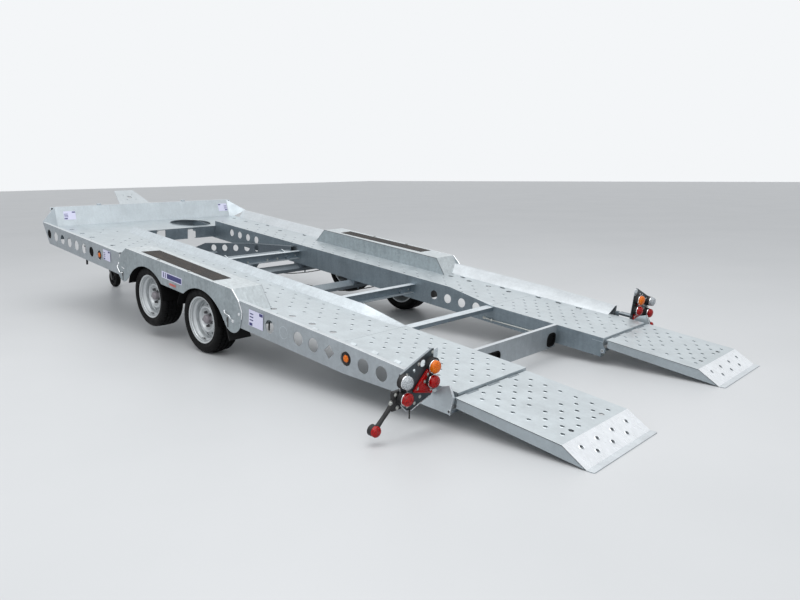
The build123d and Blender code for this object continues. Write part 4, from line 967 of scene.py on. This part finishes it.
# ---- side rails: both runs, closed holes; cups in the lashing holes ----
RAIL_TOP_W, RAIL_END_U = 296, -2185
REAR_TOP = [(GUARD_REAR_U + 92, 295), (-1500, 291), (-1661, 289), (RAIL_END_U, 277)]
REAR_BOTTOM = [RAIL_BOTTOM_W, RAIL_BOTTOM_W, RAIL_BOTTOM_W, 131]
RAKE_FOOT_U, RAKE_TOP_U = 2806, 2960
RAKE = (RAKE_TOP_U - RAKE_FOOT_U) / (RAIL_TOP_W - RAIL_BOTTOM_W)
HOLE_R = 46


def rail_strip(stations):
    """A folded strip through stations (u, rake, [(y, w), ...]); the rake moves u with the height."""
    return lofted([[(u + rake * (w - RAIL_BOTTOM_W), y, w) for y, w in fold(points, -SHEET)]
                   for u, rake, points in stations])


def rail_shape(stations, holes):
    """Side plate with its holes, slope down to the deck and foot, through stations (u, rake, top, bottom)."""
    skin_y = RAIL_Y - SHEET + 0.4
    slope = rail_strip([(u, rake, [(DECK_OUT_Y, DECK_W), (RAIL_Y - 32, top), (skin_y, top)])
                        for u, rake, top, _ in stations])
    foot = rail_strip([(u, rake, [(skin_y, low), (RAIL_Y - 55, low)]) for u, rake, _, low in stations])
    web = [(-u - rake * (top - RAIL_BOTTOM_W), top) for u, rake, top, _ in stations]
    web += [(-u - rake * (low - RAIL_BOTTOM_W), low) for u, rake, _, low in stations[::-1]]
    side_plate = moved(plate(web, holes, SHEET, 0.4), on_skin(0, 0, RAIL_Y - SKIN_Y))
    return joined(side_plate, slope, foot)


def rear_holes():
    """A row of round holes; the second is closed flush, the fifth is a square on its corner."""
    holes = []
    for i in (0, 2, 3, 4, 5, 6, 7):
        x, w, d = -REAR_HOLE_U - REAR_PITCH * i, RAIL_HOLE_W, HOLE_R
        holes.append([(x - d, w), (x, w - d), (x + d, w), (x, w + d)] if i == 4 else circle(x, w, d, 40))
    return holes


rear = [(u, 0, top, low) for (u, top), low in zip(REAR_TOP, REAR_BOTTOM)]
both("rail_run_rear", rail_shape(rear, rear_holes()), GALV_RAIL, "rail_rear")
front = [(RAKE_FOOT_U, RAKE, RAIL_TOP_W, RAIL_BOTTOM_W), (GUARD_FRONT_U - 8, 0, RAIL_TOP_W, RAIL_BOTTOM_W)]
holes = [circle(-FRONT_HOLE_U - FRONT_PITCH * i, RAIL_HOLE_W, HOLE_R, 40) for i in range(8)]
both("rail_run_front", rail_shape(front, holes), GALV_RAIL, "rail_front")
closed = [moved(disc(52, 0, 3), at(u, RAIL_Y - 9, RAIL_HOLE_W) @ TO_Y)
          for u in (FRONT_HOLE_U, FRONT_HOLE_U + FRONT_PITCH * 6)]
closed.append(moved(plate(slot(0, 0, 62, 16, 90), [], 2, 0.3), on_skin(-908, RAIL_HOLE_W, RAIL_Y - SKIN_Y - 4)))
both("rail_plugs", joined(*closed), BLACK_AND_SHADE)
flush = turned([(0, -4), (40, -4), (40, -1.2), (38.8, -0.4), (0, -0.4)], 40)
ring = lathe([(40.5, -4), (43, -4), (43, 0.3), (41.5, 0.6), (40.5, 0.2)], 40)
blank = moved(joined(flush, ring), at(REAR_HOLE_U + REAR_PITCH, RAIL_Y, RAIL_HOLE_W) @ TO_Y)
both("rail_blank", blank, GALV_HEAD)
cup = turned([(0, -5), (14, -6), (24, -4.5), (26, -6), (26, -9), (0, -9)], 28)
both("lashing_cups", joined(*[moved(cup, at(u, LASH_Y, DECK_W)) for u in (2365, 2593, 2847)]), CHROME)

# ---- headboard: edge tabs, ears with a hole, a black plate behind each hole as painted shade ----
tabs = [block(3122, 3146, y - 22, y + 22, 414, 436, 4) for y in (572, -451)]
piece("head_tabs", joined(*tabs), BED, "bed", GALV_HEAD)
ear = plate(rounded([(168, 1044), (208, 1044), (208, 1100), (176, 1100)], 9), [circle(189, 1078, 12, 24)], SHEET)
both("head_ear", moved(ear, HEAD_FACE @ at(0, 0, 0.6)), GALV_HEAD)
# black plate behind the ear's hole: painted shade
dark = plate(rectangle(189, 1078, 30, 32, 6), [], 2)
both("head_ear_hole_shade", moved(dark, HEAD_FACE @ at(0, 0, -3.2)), BLACK_AND_SHADE)

# ---- bolts on the frame ----
PIVOT_WEB_U, LEAD_U = WHEEL_BASE + 151, 150
heads = []
for s in SIDES.values():
    heads += bolts(11, 9, [at(PIVOT_WEB_U, s * y, 152) @ REAR for y in (115, 237)])
    heads += bolts(8, 7, [at(u, s * 460, 163) @ REAR for u in (-620, PIVOT_WEB_U)])
    heads += bolts(9, 8, [at(u + du, s * 900, 99) for u in (LEAD_U, WHEEL_BASE + LEAD_U) for du in (-68, 68)])
piece("frame_bolts", joined(*heads), BED, "bed", ZINC)

# ---- drawbar: coupling, brake lever's grip ----
NOSE_X, NOSE_Z = 3236, 20
folds = []
for k in range(7):
    x = 4 + k * 10
    folds += [(31, x), (38, x + 2.5), (38, x + 5.5), (31, x + 8)]
gaiter = moved(lathe([(26, 0)] + folds + [(31, 74), (26, 74)], 32), at(NOSE_X - 74, 0, NOSE_Z) @ TO_X)
collar = moved(lathe([(31, 0), (40, 0), (40, 12), (31, 12)], 32), at(NOSE_X - 12, 0, NOSE_Z) @ TO_X)
piece("coupling_gaiter", joined(gaiter, collar), DRAW, "drawbar", RUBBER)
half = [(3356, 20, 40), (3330, 20, 66), (NOSE_X, 20, 92)]
handle = tube([(x, -y, z) for x, y, z in half] + half[::-1], 6, 14)
piece("coupling_handle", joined(handle, block(3196, 3246, -26, 26, 84, 100, 6)), DRAW, "drawbar", BLACK_PAINT_AND_SHADE)
nuts = bolts(8, 7, [at(x, s * 50, 4) for x in (3156, 3214) for s in SIDES.values()])
nuts += bolts(7, 6, [at(x, s * 36, 7) @ TO_Y @ turn(0 if s > 0 else 180, "X")
                     for x in (3262, 3330) for s in SIDES.values()])
piece("coupling_bolts", joined(*nuts), DRAW, "drawbar", ZINC)
along = (Vector((3178, 0, 285)) - Vector((3289, 0, 60))).normalized()
lever_grip = turned([(0, -60), (11, -58), (12, -40), (10.5, -30), (12, -20), (10.5, -10), (12, 0), (10.5, 10),
                     (12, 20), (10, 27), (0, 28)], 24)
grip_place = at(3172 - 18 * along.x, 56, 297 - 18 * along.z) @ aimed(along)
piece("lever_grip", moved(lever_grip, grip_place), DRAW, "drawbar", RUBBER)

# ---- jockey wheel ----
JOCKEY_X, JOCKEY_Y, TRAIL_X = 2790, 168.307, 2748
JOCKEY_Z = (DRAW.inverted() @ joint_at("jockey_roll")).z


def jockey_tyre(half=31, r=105):
    return lathe(even([(r - 34, half - 9), (r - 30, half - 1), (r - 22, half), (r - 8, half - 3), (r - 2, half - 10),
                       (r, half - 18)]), 96)


def jockey_disc():
    """A pressed disc hub with six round holes."""
    vents = [circle(x, y, 11) for x, y in circle(0, 0, 46, 6)]
    web = plate(circle(0, 0, 73, 72), [circle(0, 0, 20, 36)] + vents, 6, 1)
    rim = lathe(even([(68, 20), (75, 23)]), 72)
    hub = lathe(even([(8.2, 30.5), (19, 30.5), (23, 26)]), 36)
    return joined(moved(web, at(0, 0, 3)), rim, hub)


wheel = at(TRAIL_X, JOCKEY_Y, JOCKEY_Z) @ TO_Y
piece("jockey_tyre", moved(jockey_tyre(), wheel), DRAW, "jockey_wheel", TYRE, ["jockey_wheel"])
piece("jockey_disc", moved(jockey_disc(), wheel), DRAW, "jockey_wheel", CAST_DARK)
knob = turned([(0, 0), (12, 0), (13.5, 4), (12.5, 30), (14, 62), (11, 70), (0, 72)], 24)
piece("jockey_crank_grip", moved(knob, at(JOCKEY_X - 112, JOCKEY_Y, 302)), DRAW, "jockey_stem", RUBBER)
bars = [tube([(JOCKEY_X + x, JOCKEY_Y + y, -30) for x, y in ends], r, 16)
        for ends, r in ((((0, 28), (0, 62)), 8), (((-40, 58), (40, 58)), 6))]
bands = [moved(band(30.5, r, high), at(JOCKEY_X, JOCKEY_Y, z))
         for r, high, z in ((37, 18, 232), (36, 14, -62))]
piece("jockey_clamp", joined(*bars, *bands), DRAW, "drawbar", ZINC)

# ---- tilt ram: end collars ----
ram_foot, ram_eye = joint_at("ram_swing"), DRAW @ Vector((1120, 0, 4))
RAM = local(ram_foot, degrees(atan2(ram_eye.z - ram_foot.z, ram_eye.x - ram_foot.x)))
rings = [moved(band(24, 27.5, high), at(x, 0, 0) @ TO_X) for x, high in ((32, 15), (676, 23))]
port = moved(turned([(0, 0), (9, 0), (9, 10), (6, 12), (6, 20), (0, 20)], 18), at(84, 0, 22))
piece("ram_collars", joined(*rings, port), RAM, "ram_body", ZINC)

# ---- camera ----
YAW, PITCH, ROLL = -0.812, 0.1841, -0.0127
CAMERA_AT = (-4.7317 + rear_wheel.x, 3.9636, 1.3788)
scene = bpy.context.scene
camera_data = bpy.data.cameras.new("camera")
camera_data.lens, camera_data.sensor_width, camera_data.clip_end = 31.4814, 36.0, 300
camera = bpy.data.objects.new("camera", camera_data)
ahead = Vector((cos(YAW) * cos(PITCH), sin(YAW) * cos(PITCH), -sin(PITCH)))
flat_right = Vector((sin(YAW), -cos(YAW), 0))
flat_up = flat_right.cross(ahead)
right = cos(ROLL) * flat_right + sin(ROLL) * flat_up
up = -sin(ROLL) * flat_right + cos(ROLL) * flat_up
camera.matrix_world = at(*CAMERA_AT) @ Matrix((right, up, -ahead)).transposed().to_4x4()
scene.collection.objects.link(camera)
scene.camera = camera

# ---- stage: a pale floor with a soft sheen ----
FLOOR_HALF = 60
pale = Look("pale_floor", Roughness=0.42)
pale.finish(Base_Color=pale.mix(pale.noise(0.6, 4.0), linear(196, 198, 199), linear(208, 209, 210)))
corners = [(FLOOR_HALF * x, FLOOR_HALF * y, 0) for x, y in ((-1, -1), (1, -1), (1, 1), (-1, 1))]
floor_mesh = bpy.data.meshes.new("floor")
floor_mesh.from_pydata(corners, [], [(0, 1, 2, 3)])
floor_mesh.materials.append(pale.material)
floor = bpy.data.objects.new("floor", floor_mesh)
scene.collection.objects.link(floor)

# ---- light: a soft sky that looks white to the camera, and two softboxes ----
world = bpy.data.worlds.new("world")
sky = Nodes(world)
light = sky.add("ShaderNodeBackground", {"Color": (0.93, 0.96, 1.0, 1), "Strength": 0.62})
seen = sky.add("ShaderNodeBackground", {"Color": linear(244, 246, 248), "Strength": 1.0})
rays = sky.add("ShaderNodeLightPath").outputs
either = sky.math("MAXIMUM", rays["Is Camera Ray"], rays["Is Glossy Ray"])
blend = sky.add("ShaderNodeMixShader", {0: either, 1: light.outputs[0], 2: seen.outputs[0]})
sky.add("ShaderNodeOutputWorld", {0: blend.outputs[0]})
scene.world = world


def softbox(name, place, target, size, power):
    lamp = bpy.data.lights.new(name, "AREA")
    lamp.shape, lamp.size, lamp.size_y, lamp.energy = "RECTANGLE", size[0], size[1], power
    thing = bpy.data.objects.new(name, lamp)
    thing.matrix_world = at(*place) @ aimed(Vector(target) - Vector(place), "-Z")
    scene.collection.objects.link(thing)


softbox("key", (-2.0, 2.0, 7.0), (0, 0, 0), (9, 7), 420)
softbox("fill", (-7.0, 5.0, 4.0), (0, 0, 0.4), (5, 4), 90)

scene.view_settings.view_transform = "Standard"
